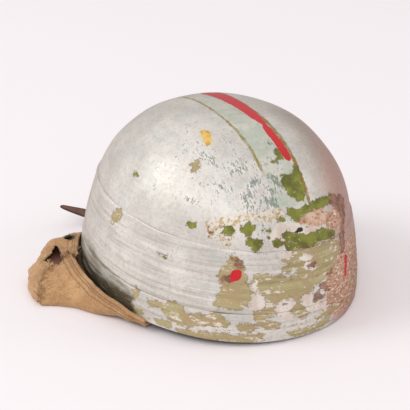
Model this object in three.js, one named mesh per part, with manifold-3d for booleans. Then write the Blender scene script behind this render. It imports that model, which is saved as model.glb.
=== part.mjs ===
// A pudding-basin crash helmet of the kind worn by motorcyclists, lying on a table.
// The pulp shell leans forwards on its front edge. Its canvas ear-and-neck curtain is turned out
// from under the rim, and the buckled leather chin strap lies round the back of the helmet.
// Units are millimetres, +Z is up and the table is z = 0. The wearer would face -Y.

import * as THREE from "three";
import { mergeVertices } from "three/addons/utils/BufferGeometryUtils.js";
import Module from "manifold-3d";

// Shell: half sizes at the rim, heights above the rim plane, and how the walls close in.
const HALF_LENGTH = 140;
const HALF_WIDTH = 123;
const HEIGHT = 160;
const SEAM_HEIGHT = 81;
const SHELL_WALL = 4;
const WALL_FLARE = 0.098; // share by which the wall closes in between rim and seam
const FLARE_POWER = 2;
const DOME_RISE_POWER = 1.48;
const DOME_ROUND_POWER = 2.53;
const PLAN_POWER = 2.07; // 2 is an ellipse, more is squarer
const BACK_WIDENING = 0.04; // share by which the back is wider than the middle

// How the shell leans on the table: the front goes down about an axis across the helmet.
const LEAN_DEG = 3.83;
const LEAN_AXIS_DEG = 32.4;

// Wound cloth bands glued round the lower shell.
const SIDE_BAND_THICK = 1;
const RIM_BAND_THICK = 1.5;
const RIM_BAND_HEIGHT = 27;
const RIM_BAND_LIFT = 0.6; // the band stops this far above the shell's bottom edge
const SEAM_LEAN_SIDE = -0.0355; // the seam climbs towards the wearer's right
const SEAM_LEAN_BACK = 0.0212; // and towards the back
const CLEARANCE = 0.3;

// Canvas curtain.
const CANVAS_THICK = 1.6;
const SEWN_DEPTH = 13; // how far it runs up inside the rim
const SEWN_CLEARANCE = 0.55; // to the shell's wall, which has flat facets
const CORNER_RADIUS = 3;
const FOLD_RADIUS = 5;
const REACH = 50; // how far the turned-out curtain lies beyond the rim
const RISE = 30; // how high its free edge stands
const HEM_GAP = 10; // how far the free edge stands off the shell
const PANEL_SLIT_DEG = 0.7; // slit between neighbouring panels
const FOOT_LEAN_DEG = 9; // how far the seam between them runs round on its way down

// Eyelet in the curtain.
const EYELET_HOLE_RADIUS = 3;
const EYELET_RADIUS = 6;
const EYELET_METAL = 0.8;

// Chin strap.
const STRAP_WIDTH = 13;
const STRAP_THICK = 2.2;
const STRAP_POINT_LENGTH = 34;
const STRAP_POINT_WIDTH = 3;
const STRAP_HOLE_RADIUS = 1.3;
const STRAP_HOLE_PITCH = 13;
const STRAP_HOLES = 5;
const FREE_END_LENGTH = 71;
const FREE_END_RISE = 16.5;
const FREE_END_HEADING_DEG = 173.5;
const FREE_END_TWIST_DEG = -22;

// Buckle.
const BUCKLE_WIRE_RADIUS = 1.1;
const BUCKLE_LENGTH = 15;

const SHELL_SIDES = 52;
const DOME_RINGS = 11;
const WALL_RINGS = 4;
const SIDE_BAND_RINGS = 4;
const RIM_BAND_RINGS = 2;

const SHELL_INSET = SIDE_BAND_THICK + CLEARANCE; // from the banded outer face to the shell's own
const INNER_INSET = SHELL_INSET + SHELL_WALL;

const wasm = await Module();
wasm.setup();

const degrees = THREE.MathUtils.degToRad;

// Materials

const paint = (name, color, roughness, metalness) =>
  new THREE.MeshStandardMaterial({ name, color, roughness, metalness });
const silverPaint = paint("silver_paint", 0xc9cbc2, 0.42, 0.35);
const wornPaint = paint("worn_paint", 0xb5ad8c, 0.6, 0.1);
const canvas = paint("canvas", 0xb39369, 0.95, 0);
const leather = paint("leather", 0x5b3a2b, 0.6, 0);
const darkMetal = paint("dark_metal", 0x55594f, 0.5, 0.8);

// Triangles to a mesh and to a solid

function geometryOf(points, triangles) {
  const geometry = new THREE.BufferGeometry();
  const xyz = points.flatMap((p) => [p.x, p.y, p.z]);
  geometry.setAttribute("position", new THREE.Float32BufferAttribute(xyz, 3));
  geometry.setIndex(triangles);
  return geometry;
}

function solidOf(geometry) {
  const bare = new THREE.BufferGeometry();
  bare.setAttribute("position", geometry.getAttribute("position").clone());
  bare.setIndex(geometry.index);
  const merged = mergeVertices(bare, 1e-3);
  const mesh = new wasm.Mesh({
    numProp: 3,
    vertProperties: merged.attributes.position.array,
    triVerts: new Uint32Array(merged.index.array),
  });
  return new wasm.Manifold(mesh);
}

function geometryFrom(solid) {
  const { vertProperties, triVerts } = solid.getMesh();
  const geometry = new THREE.BufferGeometry();
  geometry.setAttribute("position", new THREE.BufferAttribute(vertProperties, 3));
  geometry.setIndex(new THREE.BufferAttribute(triVerts, 1));
  return geometry;
}

function named(name, geometry, material) {
  geometry.computeVertexNormals();
  const mesh = new THREE.Mesh(geometry, material);
  mesh.name = name;
  return mesh;
}

// Shell shape

// Share of the rim's size that the outer face has at a height above the rim plane.
function wallShare(height, inset) {
  if (height < SEAM_HEIGHT) {
    return 1 - WALL_FLARE * Math.max(height / SEAM_HEIGHT, 0) ** FLARE_POWER;
  }
  const climbed = Math.min((height - SEAM_HEIGHT) / (HEIGHT - inset - SEAM_HEIGHT), 1);
  const round = (1 - climbed ** DOME_RISE_POWER) ** (1 / DOME_ROUND_POWER);
  return (1 - WALL_FLARE) * round;
}

// A point of the shell in its own frame. Angle 0 is the wearer's left, 90 the back, 180 the right.
function shellPoint(angle, height, inset) {
  const c = Math.cos(angle);
  const s = Math.sin(angle);
  const power = 2 / PLAN_POWER;
  const share = wallShare(height, inset);
  const across = Math.sign(c) * Math.abs(c) ** power * (1 + BACK_WIDENING * s);
  const along = Math.sign(s) * Math.abs(s) ** power;
  return new THREE.Vector3(
    (HALF_WIDTH - inset) * share * across,
    (HALF_LENGTH - inset) * share * along,
    height,
  );
}

function seamHeight(angle) {
  const rim = shellPoint(angle, 0, 0);
  return SEAM_HEIGHT + SEAM_LEAN_SIDE * rim.x + SEAM_LEAN_BACK * rim.y;
}

// Rings of points from the rim to the top of one face of the shell.
function shellRings(inset) {
  const heights = [];
  for (let i = 0; i <= WALL_RINGS; i += 1) heights.push((SEAM_HEIGHT * i) / WALL_RINGS);
  const dome = HEIGHT - inset - SEAM_HEIGHT;
  for (let i = 1; i < DOME_RINGS; i += 1) {
    const share = Math.sin((Math.PI / 2) * (i / DOME_RINGS));
    heights.push(SEAM_HEIGHT + dome * share);
  }
  return heights.map((height) => ringAt(() => height, inset));
}

function ringAt(heightAt, inset) {
  const ring = [];
  for (let i = 0; i < SHELL_SIDES; i += 1) {
    const angle = (2 * Math.PI * i) / SHELL_SIDES;
    ring.push(shellPoint(angle, heightAt(angle), inset));
  }
  return ring;
}

// Joins rings into one closed skin. A point in place of a ring closes it like a lid.
function skin(rings) {
  const points = [];
  const starts = rings.map((ring) => {
    const start = points.length;
    points.push(...(Array.isArray(ring) ? ring : [ring]));
    return start;
  });
  const triangles = [];
  for (let r = 0; r < rings.length; r += 1) {
    const next = (r + 1) % rings.length;
    const lower = starts[r];
    const upper = starts[next];
    const lowerRing = Array.isArray(rings[r]);
    const upperRing = Array.isArray(rings[next]);
    if (!lowerRing && !upperRing) continue;
    for (let i = 0; i < SHELL_SIDES; i += 1) {
      const j = (i + 1) % SHELL_SIDES;
      if (lowerRing) triangles.push(lower + i, lower + j, upper + (upperRing ? j : 0));
      if (upperRing) triangles.push(lower + (lowerRing ? i : 0), upper + j, upper + i);
    }
  }
  return geometryOf(points, triangles);
}

function shellGeometry() {
  const outerTop = new THREE.Vector3(0, 0, HEIGHT - SHELL_INSET);
  const innerTop = new THREE.Vector3(0, 0, HEIGHT - INNER_INSET);
  const outer = shellRings(SHELL_INSET);
  const inner = shellRings(INNER_INSET).reverse();
  return skin([...outer, outerTop, innerTop, ...inner]);
}

// A band between two heights, each of which may change round the helmet.
function bandGeometry(bottomAt, topAt, outerInset, innerInset, rings) {
  const outer = [];
  const inner = [];
  for (let i = 0; i <= rings; i += 1) {
    const heightAt = (angle) => THREE.MathUtils.lerp(bottomAt(angle), topAt(angle), i / rings);
    outer.push(ringAt(heightAt, outerInset));
    inner.unshift(ringAt(heightAt, innerInset));
  }
  return skin([...outer, ...inner]);
}

// How the leaning shell stands on the table

const leanAxis = new THREE.Vector3(
  Math.cos(degrees(LEAN_AXIS_DEG)),
  Math.sin(degrees(LEAN_AXIS_DEG)),
  0,
);
const lean = new THREE.Quaternion().setFromAxisAngle(leanAxis, degrees(LEAN_DEG));
const lowestEdge = Math.min(
  ...ringAt(() => 0, SHELL_INSET).map((p) => p.applyQuaternion(lean).z),
);

// A point of the leaning shell, on the table.
function placed(angle, height, inset) {
  const point = shellPoint(angle, height, inset).applyQuaternion(lean);
  point.z -= lowestEdge;
  return point;
}

// The horizontal direction straight out of the wall.
function outward(angle) {
  const step = 0.01;
  const along = placed(angle + step, 0, 0).sub(placed(angle - step, 0, 0));
  return new THREE.Vector3(along.y, -along.x, 0).normalize();
}

// A point beyond the rim, by its distance out of the wall and its height above the table.
function beyondRim(angle, away, height) {
  const point = placed(angle, 0, 0).addScaledVector(outward(angle), away);
  return point.setZ(height);
}

// Curtain

// One row for each section: where it is round the rim in degrees, then shares of REACH, RISE and
// HEM_GAP, how round the outer face is, from 0, straight, to 1, how far its foot is carried round
// towards the front, as a share of FOOT_LEAN_DEG, and how far the foot is off the table, as a share
// of RISE.
const RIGHT_EAR_ROWS = [
  { at: 206.5, reach: 0.04, rise: 0.36, gap: 0.12, puff: 0.2, foot: 0, lift: 0.19 },
  { at: 202, reach: 0.05, rise: 0.44, gap: 0.2, puff: 0.1, foot: 0, lift: 0.19 },
  { at: 198, reach: 0.09, rise: 0.54, gap: 0.34, puff: 0.1, foot: 0, lift: 0.15 },
  { at: 193, reach: 0.14, rise: 0.64, gap: 0.45, puff: 0.1, foot: 0, lift: 0.13 },
  { at: 188, reach: 0.21, rise: 0.72, gap: 0.52, puff: 0.1, foot: 0, lift: 0.08 },
  { at: 183, reach: 0.31, rise: 0.77, gap: 0.58, puff: 0.1, foot: 0, lift: 0.03 },
  { at: 178, reach: 0.44, rise: 0.83, gap: 0.65, puff: 0.1, foot: 0.1, lift: 0 },
  { at: 173, reach: 0.6, rise: 0.88, gap: 0.7, puff: 0.15, foot: 0.25, lift: 0 },
  { at: 168, reach: 0.76, rise: 0.93, gap: 0.75, puff: 0.2, foot: 0.5, lift: 0 },
  { at: 163, reach: 0.89, rise: 0.98, gap: 0.85, puff: 0.3, foot: 0.8, lift: 0 },
  { at: 159, reach: 0.97, rise: 1, gap: 1.3, puff: 0.42, foot: 1, lift: 0 },
];
const RIGHT_NAPE_ROWS = [
  { at: 159, reach: 0.98, rise: 0.97, gap: 0.3, puff: 0.6, foot: 1, lift: 0 },
  { at: 155, reach: 1.05, rise: 0.98, gap: 0.2, puff: 0.78, foot: 0.8, lift: 0 },
  { at: 151, reach: 1.01, rise: 1, gap: 0.15, puff: 0.88, foot: 0.5, lift: 0 },
  { at: 147, reach: 0.87, rise: 1.04, gap: 0.12, puff: 0.95, foot: 0.2, lift: 0 },
  { at: 143.5, reach: 0.75, rise: 1.04, gap: 0.12, puff: 0.97, foot: 0, lift: 0 },
  { at: 140, reach: 0.68, rise: 0.88, gap: 0.12, puff: 0.92, foot: 0, lift: 0 },
  { at: 137, reach: 0.62, rise: 0.6, gap: 0.15, puff: 0.8, foot: 0, lift: 0 },
  { at: 134, reach: 0.56, rise: 0.4, gap: 0.2, puff: 0.6, foot: 0, lift: 0 },
];
const BACK_NAPE_ROWS = [
  { at: 127, reach: 0.14, rise: 0.36, gap: 0.2, puff: 0.3, foot: 0, lift: 0 },
  { at: 115, reach: 0.14, rise: 0.4, gap: 0.3, puff: 0.3, foot: 0, lift: 0 },
  { at: 102, reach: 0.15, rise: 0.4, gap: 0.3, puff: 0.3, foot: 0, lift: 0 },
  { at: 90, reach: 0.16, rise: 0.4, gap: 0.3, puff: 0.3, foot: 0, lift: 0 },
  { at: 78, reach: 0.16, rise: 0.4, gap: 0.3, puff: 0.3, foot: 0, lift: 0 },
  { at: 66, reach: 0.16, rise: 0.4, gap: 0.3, puff: 0.3, foot: 0, lift: 0 },
  { at: 54, reach: 0.16, rise: 0.36, gap: 0.2, puff: 0.3, foot: 0, lift: 0 },
];
const LEFT_EAR_ROWS = [
  { at: 49, reach: 0.64, rise: 0.5, gap: 0.3, puff: 0.5, foot: 0, lift: 0 },
  { at: 40, reach: 0.64, rise: 0.56, gap: 0.3, puff: 0.5, foot: 0, lift: 0 },
  { at: 30, reach: 0.62, rise: 0.6, gap: 0.3, puff: 0.5, foot: 0, lift: 0 },
  { at: 20, reach: 0.58, rise: 0.6, gap: 0.3, puff: 0.4, foot: 0, lift: 0 },
  { at: 10, reach: 0.48, rise: 0.56, gap: 0.3, puff: 0.3, foot: 0, lift: 0 },
  { at: 2, reach: 0.3, rise: 0.48, gap: 0.25, puff: 0.2, foot: 0, lift: 0 },
  { at: -6, reach: 0.16, rise: 0.36, gap: 0.2, puff: 0.2, foot: 0, lift: 0 },
  { at: -12, reach: 0.1, rise: 0.24, gap: 0.15, puff: 0.2, foot: 0, lift: 0 },
];

// Which sections the eyelet and the tear are on, and how far up the face.
const EYELET_ROW = 3;
const EYELET_SHARE = 0.84;
const TEAR_ROW = 1;
const TEAR_SHARE = 0.68;

const FOLD_STEPS = 4;
const FACE_STEPS = 9;

// The distance out and height of the turned-up face, from the fold on the table to the free edge.
function faceCurve(row) {
  const reach = row.reach * REACH;
  const floor = row.lift * RISE;
  const fold = Math.min(FOLD_RADIUS, 0.45 * (row.rise * RISE - floor));
  const top = new THREE.Vector2(row.gap * HEM_GAP + CANVAS_THICK, row.rise * RISE);
  const low = new THREE.Vector2(Math.max(reach, top.x), floor + fold);
  const straight = (share) => low.clone().lerp(top, share);
  const shoulder = new THREE.Vector2(low.x, low.y + 0.55 * (top.y - low.y));
  const crest = new THREE.Vector2(top.x + 0.45 * (low.x - top.x), top.y);
  const face = new THREE.CubicBezierCurve(
    low,
    straight(1 / 3).lerp(shoulder, row.puff),
    straight(2 / 3).lerp(crest, row.puff),
    top,
  );
  return { face, fold, low, floor };
}

// The outer side of one section: up inside the rim, down to the table, out under the rim, round
// the fold and back up to the free edge.
function sectionPoints(row) {
  const foot = degrees(row.at + row.foot * FOOT_LEAN_DEG);
  const inner = INNER_INSET + SEWN_CLEARANCE + CANVAS_THICK;
  const { fold, low, floor } = faceCurve(row);
  const points = [placed(foot, SEWN_DEPTH, inner), placed(foot, SEWN_DEPTH / 2, inner)];
  for (let i = 0; i <= FOLD_STEPS; i += 1) {
    const turn = (Math.PI / 2) * (i / FOLD_STEPS);
    const away = -inner + CORNER_RADIUS * (1 - Math.cos(turn));
    points.push(beyondRim(foot, away, floor + CORNER_RADIUS * (1 - Math.sin(turn))));
  }
  points.push(beyondRim(foot, (low.x - fold - inner) / 2, floor));
  for (let i = 0; i < FOLD_STEPS; i += 1) {
    const turn = (Math.PI / 2) * (i / FOLD_STEPS);
    const away = low.x - fold + fold * Math.sin(turn);
    points.push(beyondRim(foot, away, floor + fold * (1 - Math.cos(turn))));
  }
  for (let i = 0; i <= FACE_STEPS; i += 1) points.push(facePoint(row, i / FACE_STEPS));
  return points;
}

// A point of the turned-up face, from 0 at the fold to 1 at the free edge.
function facePoint(row, share) {
  const spot = faceCurve(row).face.getPoint(share);
  const angle = degrees(row.at + row.foot * FOOT_LEAN_DEG * (1 - share) ** 2);
  return beyondRim(angle, spot.x, spot.y);
}

// Gives a grid of points a second side, CANVAS_THICK away on the fold's inside, and closes it all
// round. The rows run round the rim towards the wearer's left.
function cloth(grid) {
  const rows = grid.length;
  const columns = grid[0].length;
  const clamp = (i, count) => Math.min(Math.max(i, 0), count - 1);
  const at = (r, c) => grid[clamp(r, rows)][clamp(c, columns)];
  const outer = grid.flat();
  const inside = outer.map((point, index) => {
    const r = Math.floor(index / columns);
    const c = index % columns;
    const along = at(r + 1, c).clone().sub(at(r - 1, c));
    const up = at(r, c + 1).clone().sub(at(r, c - 1));
    return point.clone().addScaledVector(along.cross(up).normalize(), CANVAS_THICK);
  });
  const total = rows * columns;
  const triangles = [];
  const quad = (a, b, c, d) => triangles.push(a, c, b, a, d, c);
  for (let r = 0; r < rows - 1; r += 1) {
    for (let c = 0; c < columns - 1; c += 1) {
      const i = r * columns + c;
      quad(i, i + columns, i + columns + 1, i + 1);
      quad(total + i, total + i + 1, total + i + columns + 1, total + i + columns);
    }
    const last = r * columns + columns - 1;
    const first = r * columns;
    quad(last, last + columns, total + last + columns, total + last);
    quad(first, total + first, total + first + columns, first + columns);
  }
  for (let c = 0; c < columns - 1; c += 1) {
    const end = (rows - 1) * columns + c;
    quad(c, c + 1, total + c + 1, total + c);
    quad(end, total + end, total + end + 1, end + 1);
  }
  return geometryOf([...outer, ...inside], triangles);
}

function panelGeometry(rows, slit = 0) {
  const moved = rows.map((row, i) => (i === 0 ? { ...row, at: row.at - slit } : row));
  return cloth(moved.map(sectionPoints));
}

// A point on a panel's turned-up face, on one of its rows, with the direction into the fold.
function onFace(rows, index, share) {
  const step = 0.04;
  const along = facePoint(rows[index + 1], share).sub(facePoint(rows[index - 1], share));
  const up = facePoint(rows[index], share + step).sub(facePoint(rows[index], share - step));
  return { point: facePoint(rows[index], share), into: along.cross(up).normalize() };
}

// Eyelet: a ring with a groove that holds the canvas. Grown by a clearance, it is also the cut.
function eyeletGeometry(grown) {
  const flange = EYELET_RADIUS + grown;
  const barrel = EYELET_HOLE_RADIUS + EYELET_METAL + grown;
  const bore = grown > 0 ? 0 : EYELET_HOLE_RADIUS;
  const grip = CANVAS_THICK / 2 + CLEARANCE - grown;
  const top = CANVAS_THICK / 2 + CLEARANCE + EYELET_METAL + grown;
  const outline = [
    [bore, -top],
    [flange, -top],
    [flange, -grip],
    [barrel, -grip],
    [barrel, grip],
    [flange, grip],
    [flange, top],
    [bore, top],
    [bore, -top],
  ].map(([x, y]) => new THREE.Vector2(x, y));
  return new THREE.LatheGeometry(outline, 24);
}

function turnedTo(geometry, point, direction) {
  const turn = new THREE.Quaternion().setFromUnitVectors(new THREE.Vector3(0, 1, 0), direction);
  return geometry.clone().applyQuaternion(turn).translate(point.x, point.y, point.z);
}

// Chin strap

// A flat strap along a curve: widthAt and rollAt give its width and its roll at each share of it.
function strapGeometry(curve, steps, widthAt, rollAt = () => 0) {
  const rings = [];
  const up = new THREE.Vector3(0, 0, 1);
  for (let i = 0; i <= steps; i += 1) {
    const share = i / steps;
    const middle = curve.getPoint(share);
    const tangent = curve.getTangent(share);
    const level = tangent.clone().cross(up).normalize();
    const side = level.applyAxisAngle(tangent, rollAt(share));
    const normal = side.clone().cross(tangent).normalize();
    const half = widthAt(share) / 2;
    const corner = (a, b) =>
      middle
        .clone()
        .addScaledVector(side, a * half)
        .addScaledVector(normal, (b * STRAP_THICK) / 2);
    rings.push([corner(-1, -1), corner(1, -1), corner(1, 1), corner(-1, 1)]);
  }
  const points = rings.flat();
  const triangles = [0, 1, 2, 0, 2, 3];
  for (let r = 0; r < steps; r += 1) {
    for (let i = 0; i < 4; i += 1) {
      const j = (i + 1) % 4;
      const a = r * 4 + i;
      const b = r * 4 + j;
      triangles.push(a, a + 4, b + 4, a, b + 4, b);
    }
  }
  const end = steps * 4;
  triangles.push(end, end + 2, end + 1, end, end + 3, end + 2);
  return geometryOf(points, triangles);
}

const strapRest = STRAP_THICK / 2; // the middle of a strap that lies on the table
const clothRest = CANVAS_THICK + CLEARANCE + strapRest; // and of one that lies on canvas
const barHeight = BUCKLE_WIRE_RADIUS + CLEARANCE + STRAP_THICK / 2 + 0.4;
const eyeRadius = BUCKLE_WIRE_RADIUS + CLEARANCE + 1.2;
const overEye = barHeight + eyeRadius + CLEARANCE + strapRest;

// The buckle's bar lies behind the helmet, square to the long strap.
const BUCKLE_AT_DEG = 96;
const BUCKLE_AWAY = 24;
const barPoint = beyondRim(degrees(BUCKLE_AT_DEG), BUCKLE_AWAY, 0);
const heading = new THREE.Vector3(
  Math.cos(degrees(FREE_END_HEADING_DEG)),
  Math.sin(degrees(FREE_END_HEADING_DEG)),
  0,
);
const fromBar = (along, height) => barPoint.clone().addScaledVector(heading, along).setZ(height);

// Where the long strap lies between its seam in the left ear panel and the buckle, in degrees round
// the rim and shares of BUCKLE_AWAY out of it.
const LONG_STRAP_ROWS = [
  { at: 16, away: 0.66, height: clothRest },
  { at: 30, away: 0.62, height: clothRest },
  { at: 43, away: 0.66, height: clothRest },
  { at: 51, away: 0.76, height: clothRest },
  { at: 60, away: 0.86, height: strapRest + 0.2 },
  { at: 69, away: 0.93, height: strapRest },
  { at: 78, away: 0.98, height: strapRest },
  { at: 86, away: 1, height: strapRest },
];

// How the long strap climbs through the buckle: shares of BUCKLE_LENGTH before the bar, and of the
// height that it gains.
const CLIMB_ROWS = [
  { back: 1, climb: 0 },
  { back: 0.7, climb: 0.03 },
  { back: 0.4, climb: 0.52 },
  { back: 0.14, climb: 0.95 },
  { back: -0.1, climb: 1 },
];

function longStrapCurve() {
  const points = LONG_STRAP_ROWS.map((row) =>
    beyondRim(degrees(row.at), row.away * BUCKLE_AWAY, row.height),
  );
  for (const { back, climb } of CLIMB_ROWS) {
    points.push(fromBar(-BUCKLE_LENGTH * back, strapRest + (overEye - strapRest) * climb));
  }
  for (const share of [0.25, 0.5, 0.75, 0.9, 1]) {
    points.push(fromBar(FREE_END_LENGTH * share, overEye + FREE_END_RISE * share ** 4));
  }
  return new THREE.CatmullRomCurve3(points, false, "centripetal");
}

// Where the short strap lies between its root inside the right nape panel and the buckle: degrees
// round the rim, shares of REACH out of it, and heights above where it lies flat as shares of RISE.
const SHORT_STRAP_ROWS = [
  { at: 150, away: 0.42, lift: 0.5 },
  { at: 145, away: 0.38, lift: 0.28 },
  { at: 140, away: 0.34, lift: 0.08 },
  { at: 135, away: 0.31, lift: 0 },
  { at: 128, away: 0.3, lift: 0 },
  { at: 120, away: 0.3, lift: 0 },
  { at: 112, away: 0.32, lift: 0 },
];

function shortStrapCurve() {
  const root = onFace(RIGHT_NAPE_ROWS, TEAR_ROW, TEAR_SHARE);
  const drop = CANVAS_THICK + CLEARANCE + strapRest + STRAP_THICK;
  const points = [root.point.clone().addScaledVector(root.into, drop)];
  for (const { at, away, lift } of SHORT_STRAP_ROWS) {
    points.push(beyondRim(degrees(at), away * REACH, clothRest + lift * RISE));
  }
  points.push(fromBar(12, strapRest), fromBar(2, strapRest));
  return new THREE.CatmullRomCurve3(points, false, "centripetal");
}

function cylinderBetween(a, b, radius, sides) {
  const length = a.distanceTo(b);
  const middle = a.clone().add(b).multiplyScalar(0.5);
  const direction = b.clone().sub(a).normalize();
  return turnedTo(new THREE.CylinderGeometry(radius, radius, length, sides), middle, direction);
}

function longStrapGeometry() {
  const curve = longStrapCurve();
  const length = curve.getLength();
  const widthAt = (share) => {
    const left = (1 - curveShare(curve, share)) * length;
    const point = Math.min(left / STRAP_POINT_LENGTH, 1) ** 0.8;
    return THREE.MathUtils.lerp(STRAP_POINT_WIDTH, STRAP_WIDTH, point);
  };
  const rollAt = (share) => {
    const left = (1 - curveShare(curve, share)) * length;
    const twisted = THREE.MathUtils.clamp(1 - left / (0.7 * FREE_END_LENGTH), 0, 1);
    return degrees(FREE_END_TWIST_DEG) * Math.min(2 * twisted, 1);
  };
  let solid = solidOf(strapGeometry(curve, 64, widthAt, rollAt));
  for (let i = 0; i < STRAP_HOLES; i += 1) {
    const along = i - STRAP_HOLES + 1;
    const spot = fromBar(along * STRAP_HOLE_PITCH + FREE_END_LENGTH * 0.4, 0);
    const pin = cylinderBetween(spot, spot.clone().setZ(2 * overEye), STRAP_HOLE_RADIUS, 10);
    solid = solid.subtract(solidOf(pin));
  }
  return geometryFrom(solid);
}

// The share of a curve's length that lies before a share of its parameter.
function curveShare(curve, share) {
  const lengths = curve.getLengths(200);
  return lengths[Math.round(share * 200)] / lengths[200];
}

function shortStrapGeometry() {
  const across = new THREE.Vector3(-heading.y, heading.x, 0);
  const bar = fromBar(0, barHeight);
  const end = (half) => [
    bar.clone().addScaledVector(across, -half),
    bar.clone().addScaledVector(across, half),
  ];
  const eye = solidOf(cylinderBetween(...end(STRAP_WIDTH / 2), eyeRadius, 16));
  const bore = BUCKLE_WIRE_RADIUS + CLEARANCE;
  const hole = solidOf(cylinderBetween(...end(STRAP_WIDTH), bore, 12));
  const strap = solidOf(strapGeometry(shortStrapCurve(), 40, () => STRAP_WIDTH));
  return geometryFrom(strap.add(eye).subtract(hole));
}

function buckleGeometry() {
  const across = new THREE.Vector3(-heading.y, heading.x, 0);
  const half = STRAP_WIDTH / 2 + 3 * BUCKLE_WIRE_RADIUS;
  const farHeight = STRAP_THICK + 2 * CLEARANCE + BUCKLE_WIRE_RADIUS;
  const corner = (along, side, height) =>
    fromBar(along, height).addScaledVector(across, side * half);
  const corners = [
    corner(0, -1, barHeight),
    corner(0, 1, barHeight),
    corner(-BUCKLE_LENGTH, 1, farHeight),
    corner(-BUCKLE_LENGTH, -1, farHeight),
  ];
  const bars = corners.map((from, i) => {
    const to = corners[(i + 1) % corners.length];
    return solidOf(cylinderBetween(from, to, BUCKLE_WIRE_RADIUS, 8));
  });
  const knuckles = corners.map((at) =>
    solidOf(new THREE.SphereGeometry(BUCKLE_WIRE_RADIUS, 8, 6).translate(at.x, at.y, at.z)),
  );
  return geometryFrom([...bars, ...knuckles].reduce((all, bar) => all.add(bar)));
}

// The right nape panel with the eyelet's seat and the tear beside the seam

const eyeletPlace = onFace(RIGHT_NAPE_ROWS, EYELET_ROW, EYELET_SHARE);
const eyeletMiddle = eyeletPlace.point
  .clone()
  .addScaledVector(eyeletPlace.into, CANVAS_THICK / 2);

function tearGeometry() {
  const middle = onFace(RIGHT_NAPE_ROWS, TEAR_ROW, TEAR_SHARE).point;
  const outline = [
    [-14, -3],
    [-8, -4.5],
    [-2, -3],
    [4, -3.5],
    [4, 0.5],
    [-3, 4],
    [-10, 3],
  ].map(([x, y]) => new THREE.Vector2(x, y));
  const depth = 3 * CANVAS_THICK + STRAP_THICK;
  const prism = new THREE.ExtrudeGeometry(new THREE.Shape(outline), { depth, bevelEnabled: false });
  prism.rotateZ(degrees(-30));
  return prism.translate(middle.x, middle.y, middle.z - CANVAS_THICK * 2);
}

function rightNapeGeometry() {
  const panel = solidOf(panelGeometry(RIGHT_NAPE_ROWS, PANEL_SLIT_DEG));
  const seat = solidOf(turnedTo(eyeletGeometry(CLEARANCE), eyeletMiddle, eyeletPlace.into));
  const tear = solidOf(tearGeometry());
  return geometryFrom(panel.subtract(seat).subtract(tear));
}

// Assembly

const helmet = new THREE.Group();

const leaning = new THREE.Group();
leaning.quaternion.copy(lean);
leaning.position.z = -lowestEdge;
helmet.add(leaning);

const rimBandOuter = SIDE_BAND_THICK - RIM_BAND_THICK;
const rimBandBottom = () => RIM_BAND_LIFT;
const rimBandTop = () => RIM_BAND_HEIGHT;
const sideBandBottom = () => RIM_BAND_HEIGHT + CLEARANCE;
leaning.add(
  named("shell", shellGeometry(), silverPaint),
  named(
    "side_band",
    bandGeometry(sideBandBottom, seamHeight, 0, SIDE_BAND_THICK, SIDE_BAND_RINGS),
    silverPaint,
  ),
  named(
    "rim_band",
    bandGeometry(rimBandBottom, rimBandTop, rimBandOuter, SIDE_BAND_THICK, RIM_BAND_RINGS),
    wornPaint,
  ),
);
helmet.add(
  named("right_ear_panel", panelGeometry(RIGHT_EAR_ROWS), canvas),
  named("right_nape_panel", rightNapeGeometry(), canvas),
  named("back_nape_panel", panelGeometry(BACK_NAPE_ROWS), canvas),
  named("left_ear_panel", panelGeometry(LEFT_EAR_ROWS), canvas),
  named("eyelet", turnedTo(eyeletGeometry(0), eyeletMiddle, eyeletPlace.into), darkMetal),
  named("long_strap", longStrapGeometry(), leather),
  named("short_strap", shortStrapGeometry(), leather),
  named("buckle", buckleGeometry(), darkMetal),
);

// The origin is the middle of the whole helmet's underside.
helmet.updateMatrixWorld(true);
const middle = new THREE.Box3().setFromObject(helmet, true).getCenter(new THREE.Vector3());
helmet.position.set(-middle.x, -middle.y, 0);

export default helmet;
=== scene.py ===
import math

import bpy
import numpy as np
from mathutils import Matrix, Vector


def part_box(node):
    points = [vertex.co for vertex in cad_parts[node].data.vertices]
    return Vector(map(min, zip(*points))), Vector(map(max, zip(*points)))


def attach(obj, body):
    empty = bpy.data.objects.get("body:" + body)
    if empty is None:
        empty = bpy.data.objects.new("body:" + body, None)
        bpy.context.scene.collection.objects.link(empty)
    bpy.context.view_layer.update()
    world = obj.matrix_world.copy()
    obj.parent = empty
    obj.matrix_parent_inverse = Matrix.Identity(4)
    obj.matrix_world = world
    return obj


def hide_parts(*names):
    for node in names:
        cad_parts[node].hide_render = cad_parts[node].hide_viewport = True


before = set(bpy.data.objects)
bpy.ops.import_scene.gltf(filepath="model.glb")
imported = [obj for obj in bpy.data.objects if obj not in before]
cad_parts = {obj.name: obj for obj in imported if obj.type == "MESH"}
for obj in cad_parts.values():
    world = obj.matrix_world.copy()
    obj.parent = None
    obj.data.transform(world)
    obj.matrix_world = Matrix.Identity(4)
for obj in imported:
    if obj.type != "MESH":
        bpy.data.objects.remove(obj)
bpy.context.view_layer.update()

# Sizes of the helmet in millimetres, in its own frame: angle 0 is the wearer's left, 90 the back.
HALF_LENGTH = 140
HALF_WIDTH = 123
HEIGHT = 160
SEAM_HEIGHT = 81
WALL_FLARE = 0.098
FLARE_POWER = 2
DOME_RISE_POWER = 1.48
DOME_ROUND_POWER = 2.53
PLAN_POWER = 2.07
BACK_WIDENING = 0.04
LEAN_DEG = 3.83
LEAN_AXIS_DEG = 32.4
SHELL_INSET = 1.3
SHELL_WALL = 4
INNER_INSET = SHELL_INSET + SHELL_WALL
RIM_BAND_HEIGHT = 27
RIM_BAND_LIFT = 0.6
RIM_BAND_PROUD = 0.5
BAND_FOOT = 1.28
SEAM_LEAN_SIDE = -0.0355
SEAM_LEAN_BACK = 0.0212
CLEARANCE = 0.3
MEAN_RADIUS = (HALF_LENGTH + HALF_WIDTH) / 2
SKIN_COLUMNS = 384
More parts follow.
